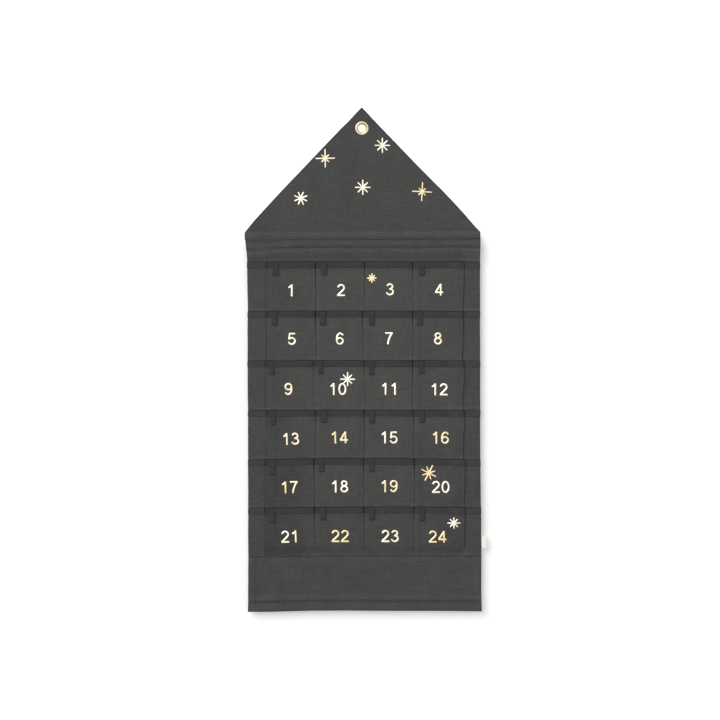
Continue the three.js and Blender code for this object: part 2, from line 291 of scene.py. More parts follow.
class Wire:
    """A shader socket that numbers and other sockets can be added to, multiplied by and so on."""

    def __init__(self, tree, socket):
        self.tree, self.socket = tree, socket

    def math(self, operation, *others):
        node = self.tree.nodes.new("ShaderNodeMath")
        node.operation = operation
        for slot, value in zip(node.inputs, (self, *others)):
            connect(value, slot)
        return Wire(self.tree, node.outputs[0])

    def __add__(self, other):
        return self.math("ADD", other)

    def __sub__(self, other):
        return self.math("SUBTRACT", other)

    def __rsub__(self, other):
        return self.math("MULTIPLY_ADD", -1.0, other)

    def __mul__(self, other):
        return self.math("MULTIPLY", other)

    def __truediv__(self, other):
        return self.math("DIVIDE", other)

    __radd__ = __add__
    __rmul__ = __mul__

    def clamped(self):
        """The same value, held from 0 to 1."""
        return self.math("MINIMUM", 1.0).math("MAXIMUM", 0.0)

    def threads(self, pitch):
        """The height, from 0 to 1, of round threads that lie side by side, a pitch apart."""
        return (self * (math.pi / pitch)).math("SINE").math("ABSOLUTE")


class Nodes:
    """A tree of shader nodes."""

    def __init__(self, tree):
        self.tree = tree

    def node(self, kind, settings=None, values=None, output=0):
        node = self.tree.nodes.new("ShaderNode" + kind)
        for key, value in (settings or {}).items():
            setattr(node, key, value)
        for socket, value in (values or {}).items():
            connect(value, node.inputs[socket])
        return Wire(self.tree, node.outputs[output]) if node.outputs else None

    def on_cloth(self):
        return self.node("UVMap", {"uv_map": "UVMap"})

    def in_space(self):
        return self.node("TexCoord", None, None, "Object")

    def painted(self, name):
        """A level written on the piece; 'dye' is the cloth's tone with painted light and shade added."""
        return self.node("Attribute", {"attribute_name": name}, None, "Fac")

    def scaled(self, vector, shares):
        return self.node("VectorMath", {"operation": "MULTIPLY"}, {0: vector, 1: shares})

    def reach(self, vector):
        return self.node("VectorMath", {"operation": "LENGTH"}, {0: vector}, "Value")

    def axis(self, vector, which):
        return self.node("SeparateXYZ", None, {0: vector}, which)

    def noise(self, vector, scale, detail=2.0, roughness=0.5):
        """Noise with about scale waves to the metre, one number or one for each axis."""
        if isinstance(scale, tuple):
            vector, scale = self.scaled(vector, scale), 1.0
        values = {"Vector": vector, "Scale": scale, "Detail": detail, "Roughness": roughness}
        return self.node("TexNoise", None, values)

    def blend(self, share, first, second):
        """A colour between two colours."""
        values = {"Factor": share, 6: first, 7: second}
        return self.node("Mix", {"data_type": "RGBA"}, values, 2)

    def ramp(self, value, low, high, first, last):
        """A level that goes from first to last as a value goes from low to high."""
        values = {"Value": value, "From Min": low, "From Max": high, "To Min": first, "To Max": last}
        return self.node("MapRange", None, values)


class Finish(Nodes):
    """A material whose main shader takes numbers, colours and wires."""

    def __init__(self, name, **fixed):
        self.material = bpy.data.materials.new(name)
        self.material.use_nodes = True
        super().__init__(self.material.node_tree)
        self.surface = self.tree.nodes["Principled BSDF"]
        for socket, value in fixed.items():
            self.set(socket.replace("_", " "), value)

    def set(self, socket, value):
        connect(value, self.surface.inputs[socket])

    def bump(self, height, distance, strength=1.0):
        values = {"Height": height, "Distance": distance, "Strength": strength}
        self.set("Normal", self.node("Bump", None, values))


def dye(*levels):
    """A linear colour from screen levels of 0 to 255."""
    def linear(value):
        value = min(max(value / 255, 0.0), 1.0)
        return value / 12.92 if value <= 0.04045 else ((value + 0.055) / 1.055) ** 2.4
    return (*(linear(level) for level in levels), 1.0)


def shade(levels, share):
    return dye(*(level * share for level in levels))


def weave(finish, place_on_cloth, pitch, irregular):
    """The height of a plain weave, from 0 to 1: threads go over and under each other in turn."""
    wander = (finish.noise(place_on_cloth, 0.12 / pitch, 1.0) - 0.5) * (irregular * pitch)
    across = finish.axis(place_on_cloth, 0) + wander
    upright = finish.axis(place_on_cloth, 1) + wander
    warp, weft = across.threads(pitch), upright.threads(pitch)
    parity = ((across / pitch).math("FLOOR") + (upright / pitch).math("FLOOR")).math("PINGPONG", 1.0)
    over = warp * (1.0 - weft * 0.35)
    under = weft * (1.0 - warp * 0.35)
    return over * parity + under * (1.0 - parity)


# In the finishes, a noise's waves to the metre are (along the weft, along the warp, third axis).

def canvas_finish(name, levels, cool_levels):
    """Dyed cotton canvas: a plain weave with slubs, faint blotches and a dry surface."""
    pitch = 0.0007
    dark, light = 0.8, 1.19
    per_painted_level = 2.56  # 1 / (light - dark), so that 0.01 of the written level makes the cloth 1 % lighter
    finish = Finish(name, Roughness=0.92, Sheen_Weight=0.06, Specular_IOR_Level=0.12)
    cloth = finish.on_cloth()
    threads = weave(finish, cloth, pitch, 0.35)
    slubs_across = finish.noise(cloth, (60, 900, 1), 2.0, 0.6)
    slubs_up = finish.noise(cloth, (800, 50, 1), 2.0, 0.6)
    blotch = finish.noise(cloth, 22.0, 3.0, 0.55)
    streaks = finish.noise(cloth, (34, 380, 1), 3.0, 0.7)
    pulls = finish.noise(cloth, (300, 26, 1), 3.0, 0.7)
    tone = (slubs_across - 0.5) * 0.6 + (slubs_up - 0.5) * 0.5 + (blotch - 0.5) * 0.35
    tone = tone + (streaks - 0.5) * 0.8 + (pulls - 0.5) * 0.45
    tone = tone + (threads - 0.6) * 0.22 + 0.5
    # The written level adds painted highlights and painted shade to the cloth's tone.
    tone = tone + finish.painted("dye") * per_painted_level
    warm, cool = (finish.blend(tone, shade(hue, dark), shade(hue, light)) for hue in (levels, cool_levels))
    finish.set("Base Color", finish.blend(finish.painted("cool"), warm, cool))
    finish.bump(threads * 0.75 + slubs_across * 0.6 + slubs_up * 0.5, 0.00022, 0.8)
    return finish.material


def tape_finish(name, levels, ends_lighter=0.0):
    """Cotton twill tape: fine ribs that run slantwise, in a herringbone that turns at the middle."""
    pitch = 0.0011
    dark, light = 0.84, 1.16
    per_painted_level = 3.1  # about 1 / (light - dark)
    half_stripe = 0.0025
    half_length = 0.158  # of a row's tape from its middle to where it starts to get lighter
    finish = Finish(name, Roughness=0.9, Sheen_Weight=0.05, Specular_IOR_Level=0.12)
    cloth = finish.on_cloth()
    across = finish.axis(cloth, 0)
    fold = (finish.axis(cloth, 1) / half_stripe).math("PINGPONG", 1.0) * half_stripe
    ribs = (across + fold).threads(pitch)
    threads = across.threads(pitch * 0.5)
    fuzz = finish.noise(cloth, (700, 700, 1), 2.0, 0.6)
    patch = finish.noise(cloth, (30, 60, 1), 2.0, 0.6)
    tone = ribs * 0.35 + threads * 0.1 + (fuzz - 0.5) * 0.6 + (patch - 0.5) * 0.9 + 0.3
    # The written level adds painted shade and painted light to the tape's tone.
    tone = tone + finish.painted("dye") * per_painted_level
    # Lighter towards the row's ends, over the margins.
    if ends_lighter:
        from_middle = (across - 0.0025).math("ABSOLUTE")
        tone = tone + ((from_middle - half_length) * 150).clamped() * ends_lighter
    finish.set("Base Color", finish.blend(tone, shade(levels, dark), shade(levels, light)))
    finish.bump(ribs * 0.8 + threads * 0.2 + fuzz * 0.4, 0.0002, 0.8)
    return finish.material


def foil_finish(name, gold_share):
    """Heat-pressed metal foil on canvas, cream and golder in patches."""
    finish = Finish(name, Metallic=1.0)
    spot = finish.in_space()
    patch = finish.noise(spot, 30.0, 2.0, 0.5)
    share = ((patch - 0.5) * 2.6 + gold_share).clamped()
    cream, gold = (0.97, 0.93, 0.80, 1.0), (0.87, 0.68, 0.38, 1.0)
    finish.set("Base Color", finish.blend(share, cream, gold))
    unevenness = finish.noise(spot, 900.0, 3.0, 0.6)
    finish.set("Roughness", unevenness * 0.25 + 0.3)
    grain = weave(finish, spot, 0.0009, 0.3)
    finish.bump(grain * 0.5 + unevenness * 0.5, 0.00008, 0.5)
    return finish.material


def metal_finish(name, colour, roughness, throat=0.0):
    """Polished sheet brass with fine handling marks, tarnished nearer to the axis than throat, and there
    darker still on its right and upper side, a painted shade.
    """
    finish = Finish(name, Metallic=1.0)
    spot = finish.in_space()
    marks = finish.noise(spot, (900, 900, 300), 4.0, 0.7)
    cloud = finish.noise(spot, 220.0, 2.0, 0.5)
    deep = tuple(c * 0.85 for c in colour[:3]) + (1.0,)
    colour = finish.blend(cloud, deep, colour)
    if throat:
        from_axis = finish.reach(finish.scaled(spot, (1, 0, 1)))
        inside = ((throat - from_axis) * 2500 + 0.5).clamped()
        # Painted shade: the throat's right and upper side is darker.
        away = ((finish.axis(spot, 0) + finish.axis(spot, 2) * 0.7) * 120 + 0.5).clamped()
        tarnish_and_shade = finish.blend(away, (0.58, 0.50, 0.29, 1.0), (0.36, 0.29, 0.125, 1.0))
        colour = finish.blend(inside, colour, tarnish_and_shade)
    finish.set("Base Color", colour)
    finish.set("Roughness", marks * 0.16 + roughness)
    finish.bump(marks, 0.00002, 0.4)
    return finish.material


def wood_finish(name):
    """Plain beech dowel: straight grain along X, with fine dark flecks and growth rings at the ends."""
    finish = Finish(name, Specular_IOR_Level=0.3)
    spot = finish.in_space()
    grain = finish.noise(spot, (30, 900, 900), 4.0, 0.6)
    fleck = finish.noise(spot, (160, 2600, 2600), 2.0, 0.5)
    light, dark = (0.62, 0.44, 0.26, 1.0), (0.42, 0.27, 0.14, 1.0)
    finish.set("Base Color", finish.blend(grain * 0.7 + fleck * 0.3, light, dark))
    finish.set("Roughness", grain * 0.2 + 0.55)
    finish.bump(grain * 0.6 + fleck * 0.4, 0.00012, 0.6)
    return finish.material


def ribbon_finish(name):
    """Cream cotton ribbon with fine ribs and a woven edge."""
    finish = Finish(name, Roughness=0.85, Sheen_Weight=0.05, Specular_IOR_Level=0.2)
    cloth = finish.on_cloth()
    ribs = finish.axis(cloth, 1).threads(0.0005)
    cross = finish.axis(cloth, 0).threads(0.00035)
    fuzz = finish.noise(cloth, 700.0, 2.0, 0.5)
    tone = ribs * 0.3 + cross * 0.2 + fuzz * 0.4
    finish.set("Base Color", finish.blend(tone, (0.78, 0.76, 0.68, 1.0), (0.93, 0.92, 0.86, 1.0)))
    finish.bump(ribs * 0.7 + cross * 0.3 + fuzz * 0.3, 0.00015, 0.6)
    return finish.material


def thread_finish(name, level):
    """Twisted sewing thread."""
    finish = Finish(name, Roughness=0.8, Sheen_Weight=0.05, Specular_IOR_Level=0.2)
    twist = finish.noise(finish.in_space(), (2600, 2600, 5200), 2.0, 0.5)
    finish.set("Base Color", finish.blend(twist, shade([level] * 3, 0.8), shade([level] * 3, 1.2)))
    finish.bump(twist, 0.00006, 0.7)
    return finish.material


row_cloth = canvas_finish("row_canvas", (73.7, 73.6, 71.6), (73.0, 73.3, 72.9))
roof_cloth = canvas_finish("roof_canvas", (74.0, 74.0, 72.9), (72.6, 74.0, 73.3))
panel_cloth = canvas_finish("panel_canvas", (72.8, 72.9, 72.6), (71.4, 73.0, 72.5))
tape_material = tape_finish("charcoal_tape", (56.8, 56.8, 55.8), 0.3)
loop_material = tape_finish("loop_tape", (55.5, 55.5, 54.5))
foil_material = foil_finish("pale_foil", 0.25)
gold_foil_material = foil_finish("gold_foil", 0.8)
brass_material = metal_finish("pale_brass", (0.70, 0.63, 0.475, 1.0), 0.32, 0.0086)
washer_material = metal_finish("washer_brass", (0.78, 0.66, 0.42, 1.0), 0.34)
wood_material = wood_finish("beech")
ribbon_material = ribbon_finish("cream_ribbon")
thread_material = thread_finish("charcoal_thread", 67)

# ---------------------------------------------------------------- shapes of the cloth

ROOF_FACE = 1.8  # the roof's front face where it lies flat
SLEEVE_TOP = SHOULDER_Z + 2
STICK_FRONT = -TOP_STICK[0].y
# The front of the stick's sleeve: heights and how far forward it stands there.
SLEEVE = ((-181.8, 3.5), (-181.5, 4.0), (-181.0, 4.5), (-180.3, 4.95), (-179.1, 5.45),
          (-177.4, STICK_FRONT + 0.85), (-175.5, STICK_FRONT + 1.1), (-173.8, STICK_FRONT + 0.7),
          (-172.0, 4.6), (-170.0, 3.0), (-168.6, 2.05), (SLEEVE_TOP, ROOF_FACE))


def roof_face(x, z):
    """How far forward the roof's front face stands at a place."""
    if z < SLEEVE_TOP:
        return along(SLEEVE, z) + 0.2 * ripple(x, z * 0.4, 9, 11) * hump((z - ROOF_EDGE_Z) / 5)
    calm = smooth((slope_x(z) - abs(x)) / 25) * smooth((z - SLEEVE_TOP) / 14)
    drape = 0.75 * ripple(x, z, 85, 1) + 0.3 * ripple(x, z * 0.35, 30, 2)
    return ROOF_FACE + (drape + 0.5) * calm * off_brass(x, z)


# The header's soft folds from side to side: the crest's height, the fold's half-height above and below it,
# how far forward it stands, and how much of climb() it takes.
HEADER_FOLDS = ((-182.8, 3.0, 5.0, 2.3, 0.0), (-191.2, 6.2, 4.2, 3.9, 1.0), (-200.4, 3.5, 9.5, 4.0, 1.0),
                (-216.7, 2.4, 2.0, 1.1, 0.4))
HEADER_HEIGHT = ROOF_EDGE_Z - ROW_TOPS[0]


def climb(x):
    """How far a fold of the header leaves its level: it drops towards the left side."""
    return -4.9 * min(max((-85 - x) / 88, 0), 1) ** 2 + 0.5 * ripple(x, 0, 80, 21)


def header_face(x, z):
    """How far forward of its flat place the header's front face stands: soft folds from side to side."""
    down = ROOF_EDGE_Z - 0.3 - z
    if not 0 < down < HEADER_HEIGHT - 0.3:
        return 0.0
    height = 0.0
    for crest, above, below, tall, climbing in HEADER_FOLDS:
        gap = z - climb(x) * climbing - crest
        swell = 1 + 0.4 * ripple(x, crest, 70, 22)
        height += tall * swell * hump(gap / (above if gap > 0 else below))
    height += 0.35 * ripple(x, z * 2.0, 22, 24) * smooth(down / 6)
    return max(height, 0.0) * smooth(down / 1.1)


def band_face(x, z):
    """The bottom band's soft waves, and the roll of cloth over the hem's stitching."""
    if not HEM_Z < z < ROWS_END:
        return 0.0
    down = ROWS_END - z
    up = z - HEM_Z
    waves = 1.1 * ripple(x, z * 1.8, 62, 31) + 0.6 * ripple(x * 0.6, z * 2.2, 26, 32) + 0.7
    waves += 0.25 * ripple(x, z * 1.5, 11, 34)
    roll = 1.9 * hump((up - 4.0) / (5.0 if up > 4.0 else 3.1)) * (1 + 0.25 * ripple(x, 0, 50, 33))
    return max(waves, -0.1) * smooth(down / 12) * smooth((up - 1) / 14) + roll * smooth(up / 0.8)


def turned_edge(inset, radius=1.3):
    """How far a cloth's edge has turned back, from 0 inside to 1 at its very edge."""
    return 1 - math.sqrt(max(0.0, 1 - (1 - min(inset / radius, 1)) ** 2))


def side_hem(x, z):
    """The ridge that the side hem makes on the body's front face, above and below the rows."""
    if ROWS_END + 2 < z < ROW_TOPS[0] - 1:
        return 0.0
    inset = min(x - PANEL_LOW.x, PANEL_HIGH.x - x)
    pucker = 1 + 0.6 * math.sin(z * 0.9 + 2.2 * ripple(x, z, 25, 41))
    ridge = 0.9 * (1 - smooth((inset - SIDE_HEM + 0.7) / 1.3))
    ridge += 0.45 * ripple(x * 2, z, 9, 42) * hump((inset - 6) / 5)
    return ridge - 0.2 * pucker * hump((inset - 9.6) / 1.1)


def panel_face(x, z):
    return BACKING + header_face(x, z) + band_face(x, z) + side_hem(x, z)


def panel_back(x, z):
    """How far forward the panel's back face stands: it follows the front's folds."""
    return 0.05 + header_face(x, z) + 0.9 * band_face(x, z)


# How open each of a row's five seams stands, row by row.
SEAM_SLACK = ((0.5, 1.15, 0.6, 0.6, 0.9), (0.5, 1.05, 0.6, 0.5, 1.0), (0.8, 0.1, 0.1, 0.8, 0.9),
              (0.6, 0.4, 1.1, 0.3, 0.7), (1.0, 1.2, 0.5, 1.2, 1.4), (0.9, 0.8, 0.5, 0.3, 1.6))
# How far each seam leans to the right near the mouth and near the bottom.
SEAM_LEAN = ((0.0, 0.0), (0.6, 1.4), (0.4, 1.0), (1.1, 0.8), (2.3, 0.3))

# A pocket's front: depths under its mouth and how far forward it stands there.
FRONT_DEPTHS = ((0, 6.5), (8, 6.75), (10.5, 6.65), (14.5, 6.3), (30, 7.0), (55, 7.1), (72, 6.5), (77, 6.75),
                (79.7, 6.4))
FOLD_DEPTH = 80.05  # where the pocket's front has turned back into the strip
ROUNDING_DEPTH = 79.3  # where it begins to turn
# How much flatter a pocket's front is at its seams: at the row's left end, at its right end and elsewhere.
FLAT_LEFT, FLAT_RIGHT, FLAT = 2.3, 1.6, 0.75
OUTER = 30  # how far from the row's ends the first two count


@functools.lru_cache(maxsize=None)
def seam_at(row, seam, depth):
    """Where a seam between two pockets is at a depth under the row's mouth."""
    lean = lerp(*SEAM_LEAN[seam], smooth((depth - 12) / 55))
    return SEAMS[row][seam] + lean + 0.5 * ripple(seam * 40, row * 90 + depth, 30, 51)


def gap_at(row, seam, depth):
    """Half the gap between two pockets, which opens in a V at the mouth."""
    slack = SEAM_SLACK[row][seam]
    wedge = (0.2 if seam == 0 else 1.1) * math.exp(-depth / 8.0)
    return 0.05 + wedge + slack * (0.055 + 0.4 * math.exp(-depth / 24)) + 0.15 * smooth((depth - 75) / 4)


def pocket_rise(row, x, depth):
    """How far a pocket's front stands in front of the strip that it is folded from."""
    if depth >= FOLD_DEPTH:
        return 0.0
    rise = along(FRONT_DEPTHS, depth) - STRIP_FACE
    if row == ROWS[-1]:
        rise -= 3.6 * smooth((depth - 62) / 15)
    seams = [seam_at(row, k, depth) for k in range(5)]
    column = max(k for k in COLUMNS if k == 0 or x >= seams[k])
    left, right = seams[column], seams[column + 1]
    edge = min(max(x - left, 0), max(right - x, 0))
    middle = smooth(edge / 16)
    flat = FLAT
    if column == COLUMNS[0] and x - left < OUTER:
        flat = FLAT_LEFT
    elif column == COLUMNS[-1] and right - x < OUTER:
        flat = FLAT_RIGHT
    rise -= flat * (1 - smooth(edge / 13)) * smooth(depth / 9 + 0.3) * smooth((84 - depth) / 14)
    rise += 0.5 * hump((depth - 77.5) / 2.5) * hump(edge / 5)
    seed = 60 + row * 4 + column
    soft = 0.6 * ripple(x, depth, 42, seed) + 0.35 * ripple(x * 1.7 + depth, depth * 1.7 - x, 30, seed)
    drag = 0.3 * ripple(x + depth * 0.8, depth * 2.4 - x * 0.8, 13, seed + 30)
    rise += (0.3 + soft + drag) * middle * smooth(depth / 10) * smooth((FOLD_DEPTH - depth) / 9)
    if depth > ROUNDING_DEPTH:
        rise *= math.sqrt(max(0.0, 1 - ((depth - ROUNDING_DEPTH) / (FOLD_DEPTH - ROUNDING_DEPTH)) ** 2))
    return max(rise, 0.0)


def strip_face(row, x, depth):
    """The face of the strip at the sides of the pockets."""
    seed = 90 + row
    waves = 0.45 * ripple(x * 1.3, depth, 26, seed) + 0.3 * ripple(x * 2, depth * 2.5, 20, seed + 7)
    waves = max(waves + 0.15, 0) * smooth((ROW_PITCH - depth) / 8) * smooth(depth / 12)
    roll = 1.25 * smooth((depth - 72.5) / 5.5) * (1 - smooth((depth - 79.1) / 0.8))
    return STRIP_FACE + waves + roll


def row_height(row, x, depth):
    """The height of a place that lies a depth under the row's mouth."""
    return lerp(row_line(row, x), row_line(row + 1, x), depth / ROW_PITCH)


WALL_TOP = 0.45  # the share of a wall's steps at which it begins to turn into the front
WALL_STEPS = (0.0, WALL_TOP, 0.8, 0.9, 0.97, 1.0)


def row_columns():
    """A row's section from side to side as (kind, pocket, share) steps: margins, walls, fronts, grooves."""
    margin = joined([0, 0.008, 0.022], between(0.045, 1, 1 / 14))
    steps = [("margin", 0, t) for t in margin]
    for pocket in COLUMNS:
        if pocket:
            steps.append(("groove", pocket, 0.5))
        steps += [("left", pocket, t) for t in WALL_STEPS]
        steps += [("front", pocket, t) for t in between(0, 1, 1 / 36)[1:-1]]
        steps += [("right", pocket, t) for t in WALL_STEPS[::-1]]
    return steps + [("margin", 1, 1 - t) for t in margin[::-1]]


CORNER = 0.8  # the radius between a pocket's wall and its front
MARGIN_EDGE = 1.85  # how far forward the strip's very edge is turned to
ROW_COLUMNS = row_columns()
ROW_DEPTHS = joined([0, 0.4, 1, 2], between(3.5, 74, 2), [75, 76, 77, 77.8, 78.4, 78.9, ROUNDING_DEPTH],
                    [79.6, 79.83, 79.98, FOLD_DEPTH, 80.2])


def row_place(row, i, depth):
    """Where a row's cloth lies: column i of its section, a depth under its mouth."""
    kind, pocket, share = ROW_COLUMNS[i]
    if kind == "margin":
        left = PANEL_LOW.x + side_shift(PANEL_LOW.x, ROW_TOPS[row] - depth)
        right = PANEL_HIGH.x + side_shift(PANEL_HIGH.x, ROW_TOPS[row] - depth)
        first = seam_at(row, 0, depth) + gap_at(row, 0, depth) - 0.05
        last = seam_at(row, 4, depth) - gap_at(row, 4, depth) + 0.05
        x = lerp(left, first, share) if pocket == 0 else lerp(last, right, share)
        forward = lerp(strip_face(row, x, depth), MARGIN_EDGE, turned_edge(min(x - left, right - x), 1.1))
        return place(x, forward, row_height(row, x, depth))
    low = seam_at(row, pocket, depth) + gap_at(row, pocket, depth)
    if kind == "groove":
        x = seam_at(row, pocket, depth)
        return place(x, strip_face(row, x, depth), row_height(row, x, depth))
    high = seam_at(row, pocket + 1, depth) - gap_at(row, pocket + 1, depth)
    if kind == "front":
        x = lerp(low + CORNER, high - CORNER, share)
        return place(x, STRIP_FACE + pocket_rise(row, x, depth), row_height(row, x, depth))
    edge, inward = (low, 1) if kind == "left" else (high, -1)
    rise = pocket_rise(row, edge + inward * CORNER, depth)
    corner = min(CORNER, rise)
    turn = max(0.0, (share - WALL_TOP) / (1 - WALL_TOP)) * math.pi / 2
    x = edge + inward * (corner * (1 - math.cos(turn)) + (CORNER - corner) * math.sin(turn))
    stand = lerp(0, rise - corner, min(share / WALL_TOP, 1)) + corner * math.sin(turn)
    return place(x, STRIP_FACE + stand, row_height(row, x, depth))


def row_depth(row, x, z):
    """How deep a place lies under the row's mouth."""
    top, bottom = row_line(row, x), row_line(row + 1, x)
    return (top - z) / (top - bottom) * ROW_PITCH


def front_face(row, x, z):
    """The face of a row's cloth, or of the tape on it, at a place on the calendar's front."""
    depth = row_depth(row, x, z)
    face = STRIP_FACE + pocket_rise(row, x, depth)
    return face + TAPE_STEP * (1 - smooth((depth - TAPE_WIDTH) / 0.8))


# ---------------------------------------------------------------- stitches

FORWARD, BACKWARD = Vector((0, -1, 0)), Vector((0, 1, 0))
STITCH_PITCH = 2.9


def stitched(name, line, body, facing=FORWARD, length=2.1, width=0.42):
    """Threads along a line of (place, direction) stitches, as small spindles half sunk in the cloth."""
    thread = bmesh.new()
    bmesh.ops.create_uvsphere(thread, u_segments=6, v_segments=4, radius=1)
    row, gap = 1, 4.0
    while row < len(line):
        copy = bmesh.ops.duplicate(thread, geom=everything(thread))
        moved = [part for part in copy["geom"] if isinstance(part, bmesh.types.BMVert)]
        bmesh.ops.translate(thread, verts=moved, vec=(gap * row, 0, 0))
        row *= 2
    spare = [v for v in thread.verts if round(v.co.x / gap) >= len(line)]
    bmesh.ops.delete(thread, geom=spare, context="VERTS")
    turns = []
    for middle, direction in line:
        normal = (facing - direction * facing.dot(direction)).normalized()
        across = direction.cross(normal).normalized()
        turn = Matrix((direction, across, normal)).transposed().to_4x4()
        size = Matrix.Diagonal((length / 2 * MM, width / 2 * MM, width / 2 * MM, 1))
        turns.append(Matrix.Translation(middle) @ turn @ size)
    for v in thread.verts:
        k = round(v.co.x / gap)
        v.co = turns[k] @ Vector((v.co.x - gap * k, v.co.y, v.co.z))
    bmesh.ops.recalc_face_normals(thread, faces=thread.faces[:])
    return finished(name, thread, thread_material, body)


def stitch_line(point_at, low, high, pitch=STITCH_PITCH):
    """Stitches from low to high along a line of places."""
    count = int(abs(high - low) / pitch)
    line = []
    for k in range(count):
        at = lerp(low, high, (k + 0.5) / count)
        step = (high - low) / count * 0.3
        middle = point_at(at)
        direction = (point_at(at + step) - point_at(at - step)).normalized()
        line.append((middle, direction))
    return line


# ---------------------------------------------------------------- the roof

# The cloth's hole lies under the eyelet's flange: its radius, how near to the middle faces are cut, and
# how near an edge belongs to the hole.
CLOTH_HOLE, CUT_RADIUS, HOLE_EDGE = 7.4, 8.4, 11.0
# Heights at which the roof's cloth has an extra line across to bend along.
BEND_LINES = [SHOULDER_Z, -174.6, -176.3, -179.4] + [z for z, forward in SLEEVE[1:]]


def gable(face, lowest, spacing=3.0):
    """A sheet cut to the gable with extra lines near its slanting edges, each place brought forward."""
    cloth = bmesh.new()
    tip = PEAK_Z - 0.05
    columns, rows = round(2 * HALF_ROOF / spacing), round((tip - lowest) / (spacing * 0.8))
    bmesh.ops.create_grid(cloth, x_segments=columns, y_segments=rows, size=1)
    for v in cloth.verts:
        v.co = place(v.co.x * HALF_ROOF, 0, lerp(lowest, tip, (v.co.y + 1) / 2))
    slope = Vector((PEAK_Z - SHOULDER_Z, 0, HALF_ROOF)).normalized()
    for side in (-1, 1):
        normal = Vector((slope.x * side, 0, slope.z))
        for inset in (0.0, 0.25, 0.7, 1.4, 3.0):
            corner = Vector((0, 0, PEAK_Z)) * MM - normal * inset * MM
            bmesh.ops.bisect_plane(cloth, geom=everything(cloth), plane_co=corner, plane_no=normal,
                                   clear_outer=inset == 0.0)
    for level in BEND_LINES:
        bmesh.ops.bisect_plane(cloth, geom=everything(cloth), plane_co=(0, 0, level * MM), plane_no=(0, 0, 1))
    bmesh.ops.remove_doubles(cloth, verts=cloth.verts[:], dist=0.02 * MM)
    under_brass = [f for f in cloth.faces if f.calc_center_median().length < CUT_RADIUS * MM]
    bmesh.ops.delete(cloth, geom=under_brass, context="FACES")
    for v in cloth.verts:
        if v.is_boundary and v.co.length < HOLE_EDGE * MM:
            v.co *= CLOTH_HOLE * MM / v.co.length
    uv = cloth.loops.layers.uv.new("UVMap")
    for loop in (loop for patch in cloth.faces for loop in patch.loops):
        loop[uv].uv = (loop.vert.co.x, loop.vert.co.z)
    for v in cloth.verts:
        x, z = v.co.x / MM, v.co.z / MM
        edge = (slope_x(z) - abs(x)) * slope.x
        if z < SHOULDER_Z:
            edge = HALF_ROOF - abs(x) + 1.4
        across, up = roof_shift(x, z)
        v.co = place(x + across, face(x, z, edge), z + up)
    cloth.normal_update()
    return cloth


# The edges of the roof's two layers turn towards each other, to these places.
FRONT_EDGE, BACK_EDGE = 0.95, 0.85
mesh = gable(lambda x, z, edge: lerp(roof_face(x, z), FRONT_EDGE, turned_edge(edge)), SLEEVE[0][0])
roof_front = finished("roof_front_cloth", mesh, roof_cloth, "roof")
thicken(roof_front, CANVAS)
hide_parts("roof_front")


def roof_dye(x, z):
    """How much lighter the roof's cloth is at a place: a painted shade along the slopes' turned edges,
    painted light low on the sleeve, where it faces down.
    """
    edge = (half_width(z) + (along(RIGHT_SLOPE, z) if x > 0 else along(LEFT_SLOPE, z)) - abs(x)) * 0.72
    # Painted shade along the slopes' turned edges.
    turned = -0.13 * hump(edge / 1.5) if z > SHOULDER_Z else 0
    # Painted light on the sleeve's lower, downward-facing part, and the whole sleeve a little lighter.
    sleeve = 0.16 * smooth((-179.7 - z) / 1.5) + 0.03 * smooth((SLEEVE_TOP - z) / 3)
    return turned + sleeve + 0.015 * ripple(x, z, 60, 132) - 0.01


dyed(roof_front, roof_dye, lambda x, z: smooth((SLEEVE_TOP - z) / 4) * (0.1 + 0.9 * smooth((x + 120) / 70)))
mesh = turned_over(gable(lambda x, z, edge: lerp(0.0, BACK_EDGE, turned_edge(edge)), ROOF_EDGE_Z, 6.0))
roof_back = finished("roof_back_cloth", mesh, roof_cloth, "roof")
thicken(roof_back, CANVAS)
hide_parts("roof_back")

# ---------------------------------------------------------------- the body's panel

# The cloth lies round the lower stick, from where the front layer's straight way down touches it.
HEM_CENTRE = (-(BOTTOM_STICK[0].y + BOTTOM_STICK[1].y) / 2, (BOTTOM_STICK[0].z + BOTTOM_STICK[1].z) / 2)
HEM_RADIUS = (BOTTOM_STICK[1].z - BOTTOM_STICK[0].z) / 2 + 1.05
HEM_DROP = HEM_Z - 0.8 - HEM_CENTRE[1]
HEM_REACH = BACKING - HEM_CENTRE[0]
HEM_TURN = math.atan2(HEM_DROP, HEM_REACH) - math.acos(HEM_RADIUS / math.hypot(HEM_DROP, HEM_REACH))
LAYER = 0.7
SEWN_TOP, SEWN_END = -178.6, -182.4  # from here to there the panel is sewn into the roof's sleeve
SEWN_FRONT, SEWN_BACK = 2.25, 0.85


def panel_line():
    """The doubled cloth from the seam down the front, round the lower stick and up the back."""
    seam = joined(between(SEWN_TOP, -180.6, 0.7), between(-180.6, -184.0, 0.42))
    front = joined(seam, between(-184, -220, 1.1), between(-220, -698, 9), between(-698, -764, 2.0),
                   between(-764, HEM_Z, 0.8))
    line = [("front", z) for z in front]
    line += [("flank", t) for t in between(0, 1, 1 / 8)[1:]]
    line += [("round", a) for a in between(HEM_TURN, -math.pi, 0.2)[1:]]
    back = joined(between(HEM_CENTRE[1], -765, 3), between(-765, -186, 9), between(-186, -184, 1),
                  seam[::-1])
    return line + [("back", z) for z in back[1:]]


PANEL_LINE = panel_line()
BODY_WIDTH = 380
PANEL_EDGE = [0, 0.4, 1.2, 3, 5, 7, 8.6, 9.4, 10.2, 11, 11.7, 12.5]
PANEL_ACROSS = joined(PANEL_EDGE, between(14, BODY_WIDTH - 14, 2.9),
                      [BODY_WIDTH - t for t in PANEL_EDGE[::-1]])

# How much of the bottom edge's sag the cloth takes up at a height.
SAG_SHARE = ((-787, 1.0), (-784.5, 0.75), (-781.5, 0.45), (-777, 0.65), (-772.5, 0.85), (-765, 0.75),
             (-745, 0.35), (-720, 0.1), (-690, 0.0))


